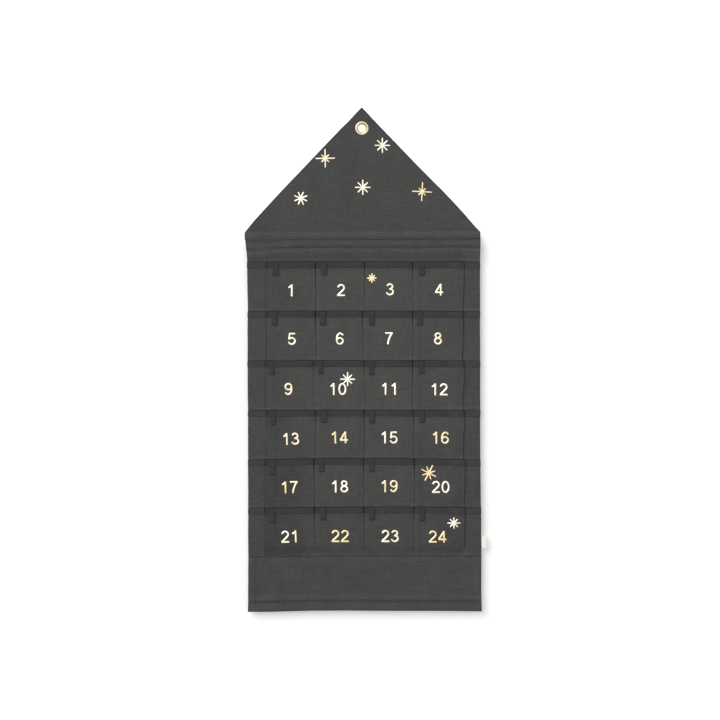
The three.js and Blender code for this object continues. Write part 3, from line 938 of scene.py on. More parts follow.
def panel_place(i, j):
    """Where the panel's cloth lies: column i from the left, row j of its way down, round and up."""
    kind, at = PANEL_LINE[j]
    x = PANEL_LOW.x + PANEL_ACROSS[i]
    turned = turned_edge(min(PANEL_ACROSS[i], PANEL_ACROSS[-1] - PANEL_ACROSS[i]))
    if kind == "front":
        z, sewn = at, smooth((at - SEWN_END) / 1.5)
        forward = lerp(lerp(panel_face(x, z), SEWN_FRONT, sewn), panel_back(x, z) + 0.75, turned)
    elif kind == "flank":
        z = lerp(HEM_Z, HEM_CENTRE[1] + HEM_RADIUS * math.sin(HEM_TURN), at)
        touch = HEM_CENTRE[0] + HEM_RADIUS * math.cos(HEM_TURN)
        forward = lerp(panel_face(x, HEM_Z), touch, max(0.0, at * 1.08 - 0.08))
        forward += 0.25 * ripple(x, z, 16, 35) * math.sin(math.pi * at)
    elif kind == "round":
        z = HEM_CENTRE[1] + HEM_RADIUS * math.sin(at)
        forward = HEM_CENTRE[0] + HEM_RADIUS * math.cos(at)
        forward += 0.15 * ripple(x, z, 30, 36) * max(0, math.cos(at))
    else:
        z, sewn = at, smooth((at - SEWN_END) / 1.5)
        forward = lerp(panel_back(x, z), SEWN_BACK, sewn)
    droop = (along(BOTTOM_SAG, x) + 0.2 * ripple(x, 0, 40, 37)) * along(SAG_SHARE, z)
    droop -= roof_tilt(x) * smooth((z + 200) / 16)
    if kind in ("flank", "round"):
        forward += 0.45 * droop * smooth((forward - 3) / 3)
    return place(x + side_shift(x, z), forward, z - droop)


MIDDLE_COLUMN = 60
PANEL_RUN = [0.0]
for step in range(1, len(PANEL_LINE)):
    first, second = panel_place(MIDDLE_COLUMN, step - 1), panel_place(MIDDLE_COLUMN, step)
    PANEL_RUN.append(PANEL_RUN[-1] - (second - first).length / MM)

mesh = turned_over(spread(len(PANEL_ACROSS) - 1, len(PANEL_LINE) - 1, panel_place,
                          lambda i, j: (PANEL_ACROSS[i], PANEL_RUN[j])))
panel = finished("body_cloth", mesh, panel_cloth, None)
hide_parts("body_panel")


def panel_dye(x, z):
    """How much lighter the panel's cloth is at a place: its side hems, bottom band and header, with
    painted highlights and painted shade along their folds and edges.
    """
    inset = min(x - PANEL_LOW.x - along(LEFT_SIDE, z), PANEL_HIGH.x + along(RIGHT_SIDE, z) - x)
    # The side hems a little lighter, with a painted highlight along the hem's ridge and painted shade just
    # beyond it.
    hem = 0.02 * (1 - smooth((inset - SIDE_HEM) / 0.8)) + 0.03 * hump((inset - 10.4) / 1.2)
    hem -= 0.03 * hump((inset - SIDE_HEM - 1.2) / 0.9)
    # The bottom band darker, with a painted highlight on the upper face of the hem's roll.
    band = 0.03 * smooth((ROWS_END - z) / 20) - 0.03 * hump((z - HEM_Z - 8) / 4) * (z < ROWS_END)
    # A painted highlight along the upper face of a header fold, and the header lighter at its right end.
    header = 0.04 * hump((z - climb(x) + 198.6) / 1.3)
    header += 0.035 * smooth((x - 158) / 8) * smooth((z - ROW_TOPS[0]) / 2)
    # Painted light on that fold's downward face, and painted shade in the groove under the sleeve.
    header += 0.05 * hump((z + 206.5) / 5.5) - 0.05 * hump((z + 183.4) / 1.4)
    # Painted shade along the panel's very side edges, where the cloth turns back.
    return hem + 0.02 * ripple(x, z, 60, 131) + header - band - 0.05 * hump(inset / 1.2)


def panel_cool(x, z):
    """How cool the panel's dye is: more to the right, and more on the bottom band."""
    return 0.1 + 0.8 * smooth((x - 50) / 120) if z > ROWS_END else 0.55 + 0.45 * smooth((x + 190) / 380)


dyed(panel, panel_dye, panel_cool)
thicken(panel, LAYER)
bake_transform(panel)

# ---------------------------------------------------------------- rows of pockets and their tapes

HALF_DEPTH = 40  # of a pocket, where a row's width is measured
ROWS_APART = 90  # on the uncut cloth


def row_flat(i, depth):
    """Where a place of a row lies on the uncut cloth, with about 3.6 mm for each wall."""
    kind, pocket, share = ROW_COLUMNS[i]
    spot = row_place(0, i, HALF_DEPTH)
    return spot.x / MM + pocket * 7.6 + (3.6 * share if kind == "left" else 0), -depth


def measured(run):
    """The length of a line of places, in metres."""
    return sum((b - a).length for a, b in zip(run, run[1:]))


# How much lighter each row's pockets, its first pocket besides and its margins are; lower rows are darker.
ROW_LIGHTER = (0.034, 0.027, 0.033, 0.007, -0.015, -0.036)
LEFT_LIGHTER = (-0.035, -0.022, -0.03, -0.04, -0.065, -0.06)
MARGIN_LIGHTER = (-0.005, -0.01, -0.02, -0.03, -0.035, -0.045)
# How dark the painted shade of a crease is in the cloth to the right of each seam.
CREASE_SHADES = (0.0, 0.02, 0.018, 0.045, 0.0)


def row_dye(row, x, z):
    """How much lighter than usual a row's cloth is at a place, as a share: its tone, painted highlights
    beside the seams and on the pockets' bottom folds, and painted shade in creases beside the seams.
    """
    depth = row_depth(row, x, z)
    seams = [seam_at(row, k, depth) for k in range(5)]
    inside = smooth((x - seams[0]) / 2) * smooth((seams[4] - x) / 2)
    left = smooth((seams[1] - x) / 30) * inside
    # Darker near the row's left seam, and a little in its last column.
    unevenness = (0.085 * math.exp(-max(x - seams[0], 0) / 13) + 0.018 * smooth((x - seams[3]) / 5)) * inside
    seam = min(abs(x - at) for at in seams)
    # Painted highlights beside the seams, on the pockets' bottom folds and at their lower corners.
    folds = 0.045 * hump((seam - 1.5) / 1.0) * smooth((depth - 10) / 25) + 0.045 * hump((depth - 79) / 1.2)
    folds += 0.05 * hump((depth - 77.5) / 2) * hump(seam / 6)
    # Painted shade in a crease to the right of each seam.
    crease_shade = sum(crease * hump((x - at - 10.8) / 3.2) for crease, at in zip(CREASE_SHADES, seams))
    folds -= crease_shade * smooth((depth - 8) / 8)
    tone = ROW_LIGHTER[row] * inside + LEFT_LIGHTER[row] * left - unevenness + MARGIN_LIGHTER[row] * (1 - inside)
    return tone + folds + 0.02 * ripple(x, z, 55, 130)


def row_cool(row, x):
    """How cool a row's dye is: at its right end, and in the last two rows at both ends."""
    cool = smooth((x - SEAMS[row][4] + 12) / 14)
    if row > 3:
        cool = max(cool, smooth((x - SEAMS[row][3]) / 6)) + 0.8 * (1 - smooth((x - SEAMS[row][0] + 2) / 3))
    return cool


def tape_dye(row, x):
    """Painted shade: the tape is darkest where it is folded into the seams. It is lighter on the left margin.
    """
    if x < SEAMS[row][0]:
        return 0.045
    seam = min(abs(x - at) for at in SEAMS[row])
    return (-0.08 * hump(seam / 7) if x < SEAMS[row][4] else 0) - 0.01


TAPE_DEPTHS = [0.0, 0.5, 1.5, 3.0, 4.5, 6.0, 7.4, 8.3, 9.0, TAPE_WIDTH]


def tape_place(row, i, j):
    """Where the mouth tape lies on a row's cloth, its depth a little uneven."""
    return row_place(row, i, TAPE_DEPTHS[j] + 0.12 * ripple(i * 3, 0, 20, row + 120))


for row in ROWS:
    mesh = turned_over(spread(len(ROW_COLUMNS) - 1, len(ROW_DEPTHS) - 1,
                              lambda i, j: row_place(row, i, ROW_DEPTHS[j]),
                              lambda i, j: row_flat(i, ROW_DEPTHS[j] + row * ROWS_APART)))
    strip = finished(f"pocket_cloth_{row + 1}", mesh, row_cloth, "body")
    dyed(strip, lambda x, z: row_dye(row, x, z), lambda x, z: row_cool(row, x))
    thicken(strip, CANVAS * 0.95)
    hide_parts(f"pocket_row_{row + 1}")
    width = measured([row_place(row, i, HALF_DEPTH) for i in range(len(ROW_COLUMNS))])

    mesh = turned_over(spread(len(ROW_COLUMNS) - 1, len(TAPE_DEPTHS) - 1,
                              lambda i, j: tape_place(row, i, j),
                              lambda i, j: row_flat(i, TAPE_DEPTHS[j])))
    for v in mesh.verts:
        v.co += v.normal * (TAPE_STEP - 0.03) * MM
    binding = finished(f"tape_on_row_{row + 1}", mesh, tape_material, "body")
    # Painted light along the tape's top edge, where the row above shades it.
    dyed(binding, lambda x, z: tape_dye(row, x) + 0.05 * hump((row_line(row, x) - z) / 1.4))
    thicken(binding, TAPE_STEP * 0.85)
    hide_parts(f"mouth_tape_{row + 1}")

# ---------------------------------------------------------------- brass eyelet and wooden sticks

def arc(across, upright, radius_across, radius_upright, first, last, steps):
    """Places on an ellipse from one angle to another, in degrees."""
    turns = [math.radians(lerp(first, last, k / steps)) for k in range(steps + 1)]
    return [(across + radius_across * math.cos(t), upright + radius_upright * math.sin(t)) for t in turns]


def spun(name, profile, material, body, centre, axis, steps, closed=True):
    """A closed solid turned about an axis from a profile of (radius, way along the axis) places."""
    solid = bmesh.new()
    along_axis = Vector(axis)
    out = Vector((0, 0, 1))
    corners = [solid.verts.new(centre + (out * radius + along_axis * way) * MM) for radius, way in profile]
    pairs = list(zip(corners, corners[1:])) + ([(corners[-1], corners[0])] if closed else [])
    edges = [solid.edges.new(pair) for pair in pairs]
    bmesh.ops.spin(solid, geom=corners + edges, cent=centre, axis=axis, angle=2 * math.pi, steps=steps,
                   use_merge=True)
    bmesh.ops.remove_doubles(solid, verts=solid.verts[:], dist=0.002 * MM)
    bmesh.ops.recalc_face_normals(solid, faces=solid.faces[:])
    return finished(name, solid, material, body)


BORE, CREST, FLANGE = 6.0, 9.5, 11.0  # the radii of the hole, the flange's crest and its rim
RIM, RIM_RADIUS = 2.12, 0.12
ROLL = (7.35, -1.7)  # the middle of the lip's roll behind the cloth
BRASS_STEPS = 96
eyelet_profile = arc(FLANGE - RIM_RADIUS, RIM, RIM_RADIUS, RIM_RADIUS, -90, 0, 4)
eyelet_profile += arc(CREST, RIM, FLANGE - CREST, 1.0, 0, 90, 8)[1:]
eyelet_profile += arc(CREST, 0.6, CREST - BORE, 2.52, 90, 180, 14)[1:]
eyelet_profile += arc(*ROLL, 1.1, 1.1, 180, 390, 16) + arc(*ROLL, 0.6, 0.6, 390, 180, 12) + [(6.75, 2.0)]
centre = Vector()
eyelet = spun("brass_eyelet", eyelet_profile, brass_material, "roof", centre, FORWARD, BRASS_STEPS)
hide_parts("eyelet")
washer_profile = [(7.05, -0.28), (7.12, -0.21), (10.88, -0.21), (11.0, -0.33), (11.0, -0.78), (10.88, -0.9),
                  (7.12, -0.9), (7.05, -0.83)]
washer = spun("brass_washer", washer_profile, washer_material, "roof", centre, FORWARD, BRASS_STEPS)
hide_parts("eyelet_washer")


def dowel(name, ends, body, node):
    """A turned stick with softly rounded ends."""
    low, high = ends
    centre = (low + high) / 2 * MM
    half, radius = (high.x - low.x) / 2, (high.z - low.z) / 2
    soft = 0.9
    tip = arc(radius - soft, half - soft, soft, soft, 0, 90, 5)
    belly = [(radius, way) for way in between(half - soft, -half + soft, 25)[1:-1]]
    profile = [(0, half)] + tip[::-1] + belly + [(r, -way) for r, way in tip] + [(0, -half)]
    stick = spun(name, profile, wood_material, body, centre, (1, 0, 0), 40, closed=False)
    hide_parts(node)


dowel("upper_stick", TOP_STICK, "roof", "top_stick")
dowel("lower_stick", BOTTOM_STICK, "body", "bottom_stick")

# ---------------------------------------------------------------- hanging loops of folded tape

# Each loop's middle, width and lowest place.
LOOP_PLACES = {
    1: (-141.2, 10.6, -240.4), 2: (-61.4, 9.6, -240.2), 4: (97.9, 8.6, -240.9), 5: (-142.5, 9.8, -322.5),
    6: (-63.5, 9.8, -321.5), 7: (16.2, 8.6, -321.5), 8: (94.8, 9.1, -322.5), 9: (-147.5, 8.4, -402.5),
    10: (-67.0, 7.8, -401.3), 11: (15.8, 8.2, -402.8), 12: (96.8, 9.1, -400.5), 13: (-144.8, 8.5, -484.7),
    14: (-61.9, 9.8, -480.6), 15: (16.6, 8.6, -481.4), 16: (98.0, 8.4, -480.6), 17: (-146.1, 10.8, -565.3),
    18: (-66.1, 8.5, -561.1), 19: (15.9, 8.2, -561.1), 21: (-146.7, 9.1, -643.7), 22: (-63.8, 9.1, -639.1),
    23: (16.3, 8.8, -639.6), 24: (97.9, 9.1, -640.4)}
LOOP_TAPE = 0.38  # the tape's thickness
LOOP_EYE = 0.7  # the radius of the fold at the loop's lowest place
LOOP_STEPS = 6  # across the tape


def run_along(path):
    """How far along a path of places each place is."""
    run = [0.0]
    for a, b in zip(path, path[1:]):
        run.append(run[-1] + math.dist(a, b))
    return run


def loop_path(back, length):
    """A folded tape's way from its sewn end down the back, round the eye and up the front to the top."""
    eye, near, far = LOOP_EYE, back + LOOP_TAPE / 2, back + LOOP_TAPE * 1.53
    down = [(near, -way) for way in between(0.5, length - 4.5, 1.2)]
    turn = arc(near + eye, -length + eye + 0.3, eye, eye, 180, 345, 12)
    start = turn[-1]
    up = [(lerp(start[0], far, smooth(t ** 0.85)), lerp(start[1], -0.5, t))
          for t in between(0, 1, 1 / 14)[1:]]
    return down + turn + up


def hanging_loop(number):
    """The folded tape that hangs from a pocket's mouth and lies on the pocket's front."""
    middle, width, bottom = LOOP_PLACES[number]
    row = (number - 1) // 4
    top = row_line(row, middle) - 0.25
    sewn_at = front_face(row, middle, top - 5)
    path = loop_path(sewn_at + 0.05, top - bottom)
    run = run_along(path)
    lean = 0.02 * ripple(number * 13.7, 0, 5, 71)
    twist = 0.03 * ripple(number * 9.1, 3, 5, 72) - 0.01

    def lay(i, j):
        forward, down = path[j]
        side = (i / LOOP_STEPS - 0.5) * width
        slack = smooth(-down / 14)
        curl = 0.07 * math.cos(math.pi * side / width * 2) * slack
        sunk = min(max(front_face(row, middle + side, top + down) - sewn_at, -1.0), 0.3)
        forward += 0.9 * sunk * smooth((-down - 7) / 5)
        return place(middle + side * (1 - 0.03 * slack) - lean * down,
                     forward + (side + width / 2) * twist * slack + curl,
                     top + down + 0.02 * side * math.sin(number * 1.7))

    mesh = spread(LOOP_STEPS, len(path) - 1, lay, lambda i, j: ((i / LOOP_STEPS - 0.5) * 10, run[j]))
    piece = finished(f"tape_loop_{number:02d}", mesh, loop_material, f"loop_{number:02d}")
    # Painted shade along the loop's lowest fold.
    dyed(piece, lambda x, z: -0.12 * hump((z - bottom - 0.2) / 0.9))
    thicken(piece, LOOP_TAPE, 0.0)
    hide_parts(f"loop_{number:02d}")


for number in LOOP_PLACES:
    hanging_loop(number)

# ---------------------------------------------------------------- the bare ribbon label

LABEL = box_mm("side_label")
# The side edge stands further out here than in the part, and the ribbon starts inside its seam.
LABEL_ROOT = PANEL_HIGH.x + along(RIGHT_SIDE, LABEL[0].z) - 0.4
LABEL_STEPS = 20  # from its bottom to its top


def label_path():
    """The ribbon's way out of the seam, round its fold and back, as (x, forward) places."""
    root, tip = LABEL_ROOT, LABEL[1].x - 0.4
    near, far = 0.45, 1.15
    fold_across, fold_up = 0.42, 0.36
    out = [(x, near + 0.9 * smooth((x - root) / (tip - root))) for x in between(root, tip - 0.4, 0.8)]
    end = out[-1]
    turn = arc(end[0], end[1] + fold_up, fold_across, fold_up, -90, 90, 8)[1:]
    back = [(x, lerp(far, turn[-1][1], smooth((x - root) / (end[0] - root))))
            for x in between(end[0], root, 0.8)[1:]]
    return out + turn + back


def side_label():
    path = label_path()
    run = run_along(path)
    low, high = LABEL[0].z, LABEL[1].z

    def lay(i, j):
        x, forward = path[j]
        up = i / LABEL_STEPS
        reach = smooth((x - LABEL[0].x) / 8)
        wave = 0.5 * math.sin(up * 3.3 + 0.6) * reach
        return place(x + 0.25 * reach * math.sin(up * 5), forward + wave, lerp(low, high, up) + 0.4 * reach)

    mesh = spread(LABEL_STEPS, len(path) - 1, lay, lambda i, j: (i / LABEL_STEPS * (high - low), run[j]))
    piece = finished("ribbon_label", mesh, ribbon_material, None)
    thicken(piece, 0.35, 0.0)
    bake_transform(piece)
    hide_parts("side_label")


side_label()

# ---------------------------------------------------------------- printed numbers and stars

FIGURE_HEIGHT = 19.8
# The width of a figure's strokes, the step to the next figure and each figure's strokes along their middle
# lines, all as shares of the height.
STROKE, FIGURE_STEP = 0.138, 0.777
FIGURES = {
    "0": [arc(0.385, 0.5, 0.26, 0.4315, 90, 450, 40)],
    "1": [[(0.455, 0.0), (0.455, 0.99)], [(0.19, 0.715), (0.30, 0.775), (0.385, 0.85), (0.455, 0.965)]],
    "2": [arc(0.375, 0.695, 0.245, 0.2365, 172, -28, 22)
          + [(0.52, 0.49), (0.40, 0.365), (0.27, 0.25), (0.16, 0.145), (0.115, 0.085)],
          [(0.05, 0.0685), (0.70, 0.0685)]],
    "3": [arc(0.36, 0.735, 0.215, 0.1965, 168, -90, 22) + [(0.30, 0.5385)],
          [(0.30, 0.535)] + arc(0.36, 0.30, 0.265, 0.2315, 90, -170, 26)],
    "4": [[(0.515, 0.0), (0.515, 0.97)], [(0.52, 0.93), (0.11, 0.29)], [(0.05, 0.2685), (0.715, 0.2685)]],
    "5": [[(0.655, 0.9315), (0.195, 0.9315)], [(0.215, 0.97), (0.145, 0.47)],
          arc(0.375, 0.325, 0.265, 0.2565, 152, -166, 28)],
    "6": [arc(0.39, 0.31, 0.255, 0.2415, 90, 450, 32), arc(0.425, 0.47, 0.29, 0.4615, 205, 40, 20)],
    "7": [[(0.055, 0.9315), (0.68, 0.9315)],
          [(0.65, 0.95), (0.52, 0.77), (0.42, 0.57), (0.345, 0.36), (0.30, 0.17), (0.285, 0.0)]],
    "8": [arc(0.385, 0.745, 0.205, 0.1865, 90, 450, 30), arc(0.385, 0.295, 0.255, 0.2265, 90, 450, 32)],
}
FIGURES["9"] = [[(FIGURE_STEP - x, 1 - y) for x, y in stroke] for stroke in FIGURES["6"]]
# The foil's thickness, how far in front of the cloth it lies, and how far each stroke lies on the last.
FOIL, FOIL_LIFT, FOIL_STEP = 0.1, 0.14, 0.012
# Each number's middle, its tilt in degrees, and whether its foil is golden.
NUMBER_PLACES = {
    1: (-116.9, -265.0, -1, 0), 2: (-33.9, -264.7, 0, 0), 3: (45.7, -263.4, 0, 0), 4: (125.9, -263.6, 0, 0),
    5: (-114.1, -344.2, 0, 0), 6: (-35.9, -343.7, 0, 0), 7: (44.1, -343.2, 0, 0), 8: (124.1, -343.5, 0, 0),
    9: (-119.7, -426.0, 1, 0), 10: (-38.9, -425.9, 0, 0), 11: (43.7, -425.6, 0, 0), 12: (127.1, -426.5, 0, 0),
    13: (-115.6, -507.2, 2, 0), 14: (-35.7, -504.7, 1, 1), 15: (44.9, -504.9, 0, 0), 16: (128.4, -505.2, 0, 1),
    17: (-117.3, -586.1, 1.5, 1), 18: (-35.8, -584.8, 0.5, 0), 19: (44.9, -584.3, 0, 1),
    20: (128.0, -585.6, 0, 0),
    21: (-119.7, -666.6, 2, 0), 22: (-35.3, -665.7, 0, 1), 23: (45.4, -665.7, 0, 0), 24: (123.5, -666.6, 0, 1)}


def finer(path, step):
    """The same line with places no further apart than step."""
    line = [path[0]]
    for a, b in zip(path, path[1:]):
        count = max(1, math.ceil(math.dist(a, b) / step))
        line += [(lerp(a[0], b[0], k / count), lerp(a[1], b[1], k / count)) for k in range(1, count + 1)]
    return line


def stroke_band(path, half, put, taper=1.0):
    """A flat band along a line of places, laid on the cloth by put(x, z)."""
    ring = math.dist(path[0], path[-1]) < 1e-6
    last = len(path) - 1

    def lay(i, j):
        before = path[j - 1] if j else (path[last - 1] if ring else path[0])
        after = path[j + 1] if j < last else (path[1] if ring else path[last])
        way = math.dist(before, after)
        ahead = ((after[0] - before[0]) / way, (after[1] - before[1]) / way)
        side = (i - 1) * half * lerp(1.0, taper, abs(2 * j / last - 1))
        return put(path[j][0] + ahead[1] * side, path[j][1] - ahead[0] * side)

    return spread(2, last, lay, lambda i, j: path[j])


def pressed(name, bands, material, body):
    """Foil pressed on the cloth from flat bands, each a hair's breadth higher than the one before."""
    foil = bmesh.new()
    for level, band in enumerate(bands):
        bmesh.ops.recalc_face_normals(band, faces=band.faces[:])
        if sum(face.normal.y for face in band.faces) > 0:
            bmesh.ops.reverse_faces(band, faces=band.faces[:])
        bmesh.ops.translate(band, verts=band.verts[:], vec=(0, -FOIL_STEP * level * MM, 0))
        part = bpy.data.meshes.new("band")
        band.to_mesh(part)
        band.free()
        foil.from_mesh(part)
        bpy.data.meshes.remove(part)
    piece = finished(name, foil, material, body)
    thicken(piece, FOIL)


def printed_number(number):
    x0, z0, tilt, golden = NUMBER_PLACES[number]
    row = (number - 1) // 4
    strokes = [[(x + FIGURE_STEP * k, y) for x, y in stroke]
               for k, figure in enumerate(str(number)) for stroke in FIGURES[figure]]
    reach = [x for stroke in strokes for x, y in stroke]
    low, high = min(reach), max(reach)
    turn = math.radians(tilt)

    def put(x, y):
        across, upright = (x - (low + high) / 2) * FIGURE_HEIGHT, (y - 0.5) * FIGURE_HEIGHT
        at_x = x0 + across * math.cos(turn) - upright * math.sin(turn)
        at_z = z0 + across * math.sin(turn) + upright * math.cos(turn)
        return place(at_x, front_face(row, at_x, at_z) + FOIL_LIFT, at_z)

    bands = [stroke_band(finer(stroke, 0.05), STROKE / 2, put) for stroke in strokes]
    pressed(f"number_{number:02d}", bands, gold_foil_material if golden else foil_material, "body")


for number in NUMBER_PLACES:
    printed_number(number)

# Each star: its row if it is on a pocket, its place, its tilt in degrees, the half-lengths of its four lines
# turned by 0, 45, 90 and 135 degrees from upright, the lines' width, and whether its foil is golden.
ROOF_STARS = {
    "roof_star_left": (-59.9, -49.3, 1.0, (15.0, 8.6, 15.8, 8.6), 2.4, 0),
    "roof_star_top": (33.5, -28.2, 0.0, (12.4, 11.6, 12.4, 11.6), 2.4, 0),
    "roof_star_middle": (1.5, -96.8, 0.0, (12.4, 11.4, 12.6, 11.4), 2.4, 0),
    "roof_star_low": (-99.7, -114.6, 22.5, (11.2, 11.2, 11.2, 11.2), 2.6, 0),
    "roof_star_right": (98.4, -103.8, -3.0, (15.5, 8.0, 16.2, 8.0), 2.2, 1)}
POCKET_STARS = {
    "star_on_03": (0, 16.3, -245.0, 0.0, (7.8, 6.6, 7.8, 6.6), 2.6, 1),
    "star_on_10": (2, -23.3, -410.0, 0.0, (11.6, 10.3, 12.1, 10.3), 2.5, 0),
    "star_on_20": (4, 109.2, -562.9, -27.0, (14.2, 10.9, 13.2, 10.9), 2.4, 1),
    "star_on_24": (5, 150.1, -644.5, 0.0, (9.2, 8.9, 10.8, 8.9), 2.3, 0)}


def printed_star(name, x0, z0, tilt, halves, width, golden, face, body):
    bands = []
    for k, half in enumerate(halves):
        turn = math.radians(tilt - 45 * k)
        path = finer([(x0 - math.sin(turn) * way, z0 + math.cos(turn) * way) for way in (-half, half)], 1.2)
        bands.append(stroke_band(path, width / 2, lambda x, z: place(x, face(x, z) + FOIL_LIFT, z), 0.8))
    pressed(name, bands, gold_foil_material if golden else foil_material, body)


for name, (x0, z0, tilt, halves, width, golden) in ROOF_STARS.items():
    printed_star(name, x0, z0, tilt, halves, width, golden, roof_face, "roof")
for name, (row, x0, z0, tilt, halves, width, golden) in POCKET_STARS.items():
    printed_star(name, x0, z0, tilt, halves, width, golden, lambda x, z: front_face(row, x, z), "body")

# ---------------------------------------------------------------- sewing

MOUTH_STITCHES = 8.4  # how deep under the mouth the tape is sewn on
HEM_STITCHES = HEM_Z + 0.4
# Where the side hems are stitched, and how high up that starts.
SIDE_LINES = (PANEL_LOW.x + 10.2, PANEL_HIGH.x - 10.2)
SIDE_LINES_TOP = -190.5
BODY_MIDDLE = 2.5
BOBBIN_FACE = -0.02  # where the threads lie on the flat of the back
for row in ROWS:
    line = []
    for k, (a, b) in enumerate(zip(ROW_COLUMNS, ROW_COLUMNS[1:])):
        if a[0] in ("margin", "front") and a[:2] == b[:2]:
            first, second = row_place(row, k, MOUTH_STITCHES), row_place(row, k + 1, MOUTH_STITCHES)
            way = (second - first).normalized()
            for t in (0.25, 0.75) if a[0] == "margin" else (0.35,) if k % 3 else (0.15, 0.85):
                line.append((first.lerp(second, t) + place(0, TAPE_STEP + 0.06, 0), way))
    stitched(f"tape_stitches_{row + 1}", line, "body", length=1.9)

    line = []
    for seam in range(5):
        def on_seam(depth):
            x = seam_at(row, seam, depth)
            return place(x, STRIP_FACE + 0.12, row_height(row, x, depth))
        line += stitch_line(on_seam, 11, 74, 3.0)
    stitched(f"seam_stitches_{row + 1}", line, "body")


def across_panel(z, face):
    low, high = PANEL_LOW.x + 2, PANEL_HIGH.x - 2
    return stitch_line(lambda x: place(x + side_shift(x, z), face(x, z), z), low, high)


def across_roof(face):
    z = SLEEVE_TOP + 0.6
    return stitch_line(lambda x: place(x, face(x, z), z), -HALF_ROOF + 3, HALF_ROOF - 3)


def down_panel(x, face, low, high):
    return stitch_line(lambda z: place(x + side_shift(x, z), face(x, z), z), low, high)


def bobbin_face(x, z):
    return panel_back(x, z) - 0.07


stitched("hem_stitches", across_panel(HEM_STITCHES, lambda x, z: panel_face(x, z) + 0.1), "body")
stitched("sleeve_stitches", across_roof(lambda x, z: roof_face(x, z) - 0.04), "roof", width=0.3)
line = []
for x in SIDE_LINES:
    for low, high in ((SIDE_LINES_TOP, ROW_TOPS[0] + 1), (ROWS_END - 3, HEM_Z + 2)):
        line += down_panel(x, lambda x, z: panel_face(x, z) + 0.06, low, high)
stitched("side_hem_stitches", line, "body")

# The bobbin's side of the same lines shows on the back.
line = []
for z in [row_line(row, BODY_MIDDLE) + 1.2 for row in range(1, 7)] + [HEM_STITCHES]:
    line += across_panel(z, bobbin_face)
for x in SEAMS[2]:
    line += stitch_line(lambda z: place(x, BOBBIN_FACE, z), ROW_TOPS[0] - 8, ROWS_END + 4)
for x in SIDE_LINES:
    line += down_panel(x, bobbin_face, SIDE_LINES_TOP, HEM_Z + 2)
stitched("bobbin_stitches", line, "body", BACKWARD)
stitched("roof_bobbin_stitches", across_roof(lambda x, z: BOBBIN_FACE), "roof", BACKWARD)

# ---------------------------------------------------------------- camera, lights and backdrop

# The camera sees 720 pixels at a scale of 1.632 mm, and the eyelet at (361.9, 128).
PIXELS, MM_PER_PIXEL = 720, 1.632
EYELET_PIXEL = (361.9, 128.0)
CAMERA_X = (PIXELS / 2 - EYELET_PIXEL[0]) * MM_PER_PIXEL * MM
CAMERA_Z = (EYELET_PIXEL[1] - PIXELS / 2) * MM_PER_PIXEL * MM
LENS, SENSOR = 100.0, 36.0
MEAN_FRONT = 0.004  # how far in front of the back face the cloth lies on the whole
view_width = PIXELS * MM_PER_PIXEL * MM

camera = bpy.data.objects.new("camera", bpy.data.cameras.new("camera"))
camera.data.lens, camera.data.sensor_width = LENS, SENSOR
camera.location = (CAMERA_X, -view_width * LENS / SENSOR - MEAN_FRONT, CAMERA_Z)
camera.rotation_euler = (math.pi / 2, 0, 0)
bpy.context.scene.collection.objects.link(camera)
bpy.context.scene.camera = camera

# The calendar hangs from its eyelet, so the gap to the wall grows downwards over the roof's height.
GAP_TOP, GAP_BELOW = 3.2, 9.4
GAP_START, GAP_HEIGHT = 20, 190


def white_paper():
    """Paper that glows enough to show white, and more in the eyelet's hole and behind the roof, painted light
    over the shadows cast there, and that isn't seen from behind or edge-on."""
    material = bpy.data.materials.new("white_paper")
    material.use_nodes = True
    paper = Nodes(material.node_tree)
    paper.tree.nodes.clear()
    spot = paper.in_space()
    hole_painted_light = paper.ramp(paper.reach(spot), 0.0047, 0.0075, 1.0, 0.23)
    painted_light_by_height = paper.ramp(paper.axis(spot, "Z"), -0.195, -0.150, 0.23, 0.7)
    lit = paper.node("BsdfDiffuse", None, {"Color": (0.86, 0.86, 0.86, 1)})
    glow_with_painted_light = paper.node("Emission", None, {"Strength": hole_painted_light.math("MAXIMUM", painted_light_by_height)})
    edge_on = paper.node("LayerWeight", None, None, "Facing").math("GREATER_THAN", 0.92)
    unseen = paper.node("NewGeometry", None, None, "Backfacing").math("MAXIMUM", edge_on)
    both = paper.node("AddShader", None, {0: lit, 1: glow_with_painted_light})
    shown = paper.node("MixShader", None, {0: unseen, 1: both, 2: paper.node("BsdfTransparent")})
    paper.node("OutputMaterial", None, {"Surface": shown})
    return material


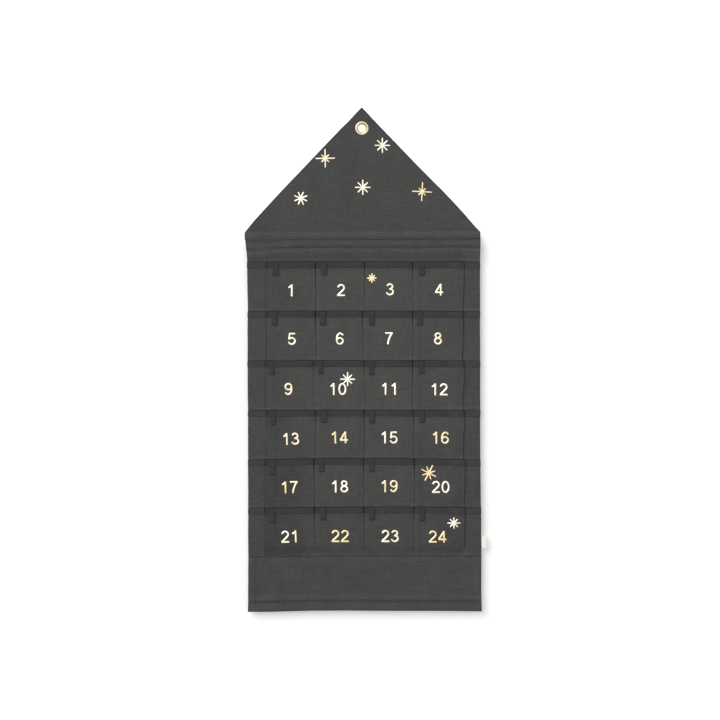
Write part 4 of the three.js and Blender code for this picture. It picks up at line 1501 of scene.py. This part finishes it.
def backdrop():
    wall = bmesh.new()
    turn = Matrix.Translation((0, 0, CAMERA_Z)) @ Matrix.Rotation(math.pi / 2, 4, "X")
    bmesh.ops.create_grid(wall, x_segments=1, y_segments=160, size=1.6, matrix=turn)
    for v in wall.verts:
        v.co.y = lerp(GAP_TOP, GAP_BELOW, smooth((GAP_START - v.co.z / MM) / GAP_HEIGHT)) * MM
    data = bpy.data.meshes.new("backdrop")
    wall.to_mesh(data)
    wall.free()
    data.materials.append(white_paper())
    plane = bpy.data.objects.new("backdrop", data)
    bpy.context.scene.collection.objects.link(plane)
    plane.visible_diffuse = False
    plane.visible_shadow = False
    plane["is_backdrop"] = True


def sun(name, direction, strength, spread_angle):
    lamp = bpy.data.objects.new(name, bpy.data.lights.new(name, "SUN"))
    lamp.data.energy, lamp.data.angle = strength, spread_angle
    lamp.rotation_mode = "QUATERNION"
    lamp.rotation_quaternion = Vector(direction).to_track_quat("-Z", "Y")
    bpy.context.scene.collection.objects.link(lamp)


def surroundings(ambient):
    """A world that is white where it is seen or reflected, and lights the part at the ambient level."""
    world = bpy.data.worlds.new("studio")
    bpy.context.scene.world = world
    world.use_nodes = True
    sky = Nodes(world.node_tree)
    camera_ray, glossy, through = (sky.node("LightPath", None, None, f"Is {kind} Ray")
                                   for kind in ("Camera", "Glossy", "Transmission"))
    seen = camera_ray.math("MAXIMUM", glossy).math("MAXIMUM", through)
    back = sky.tree.nodes["Background"]
    connect(sky.ramp(seen, 0.0, 1.0, ambient, 1.0), back.inputs["Strength"])
    back.inputs["Color"].default_value = (1, 1, 1, 1)


backdrop()
surroundings(0.6)
key_direction = Vector((0.75, 1.0, -0.75)).normalized()
sun("window", key_direction, 0.4 * math.pi / key_direction.y, math.radians(50))
sun("rear", (-0.3, -1.0, -0.35), 0.35 * math.pi, math.radians(60))

bpy.context.scene.view_settings.view_transform = "Standard"

boxes = {"cad": cad_box, "visual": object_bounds()}
{name: [list(corner) for corner in pair] for name, pair in boxes.items()}
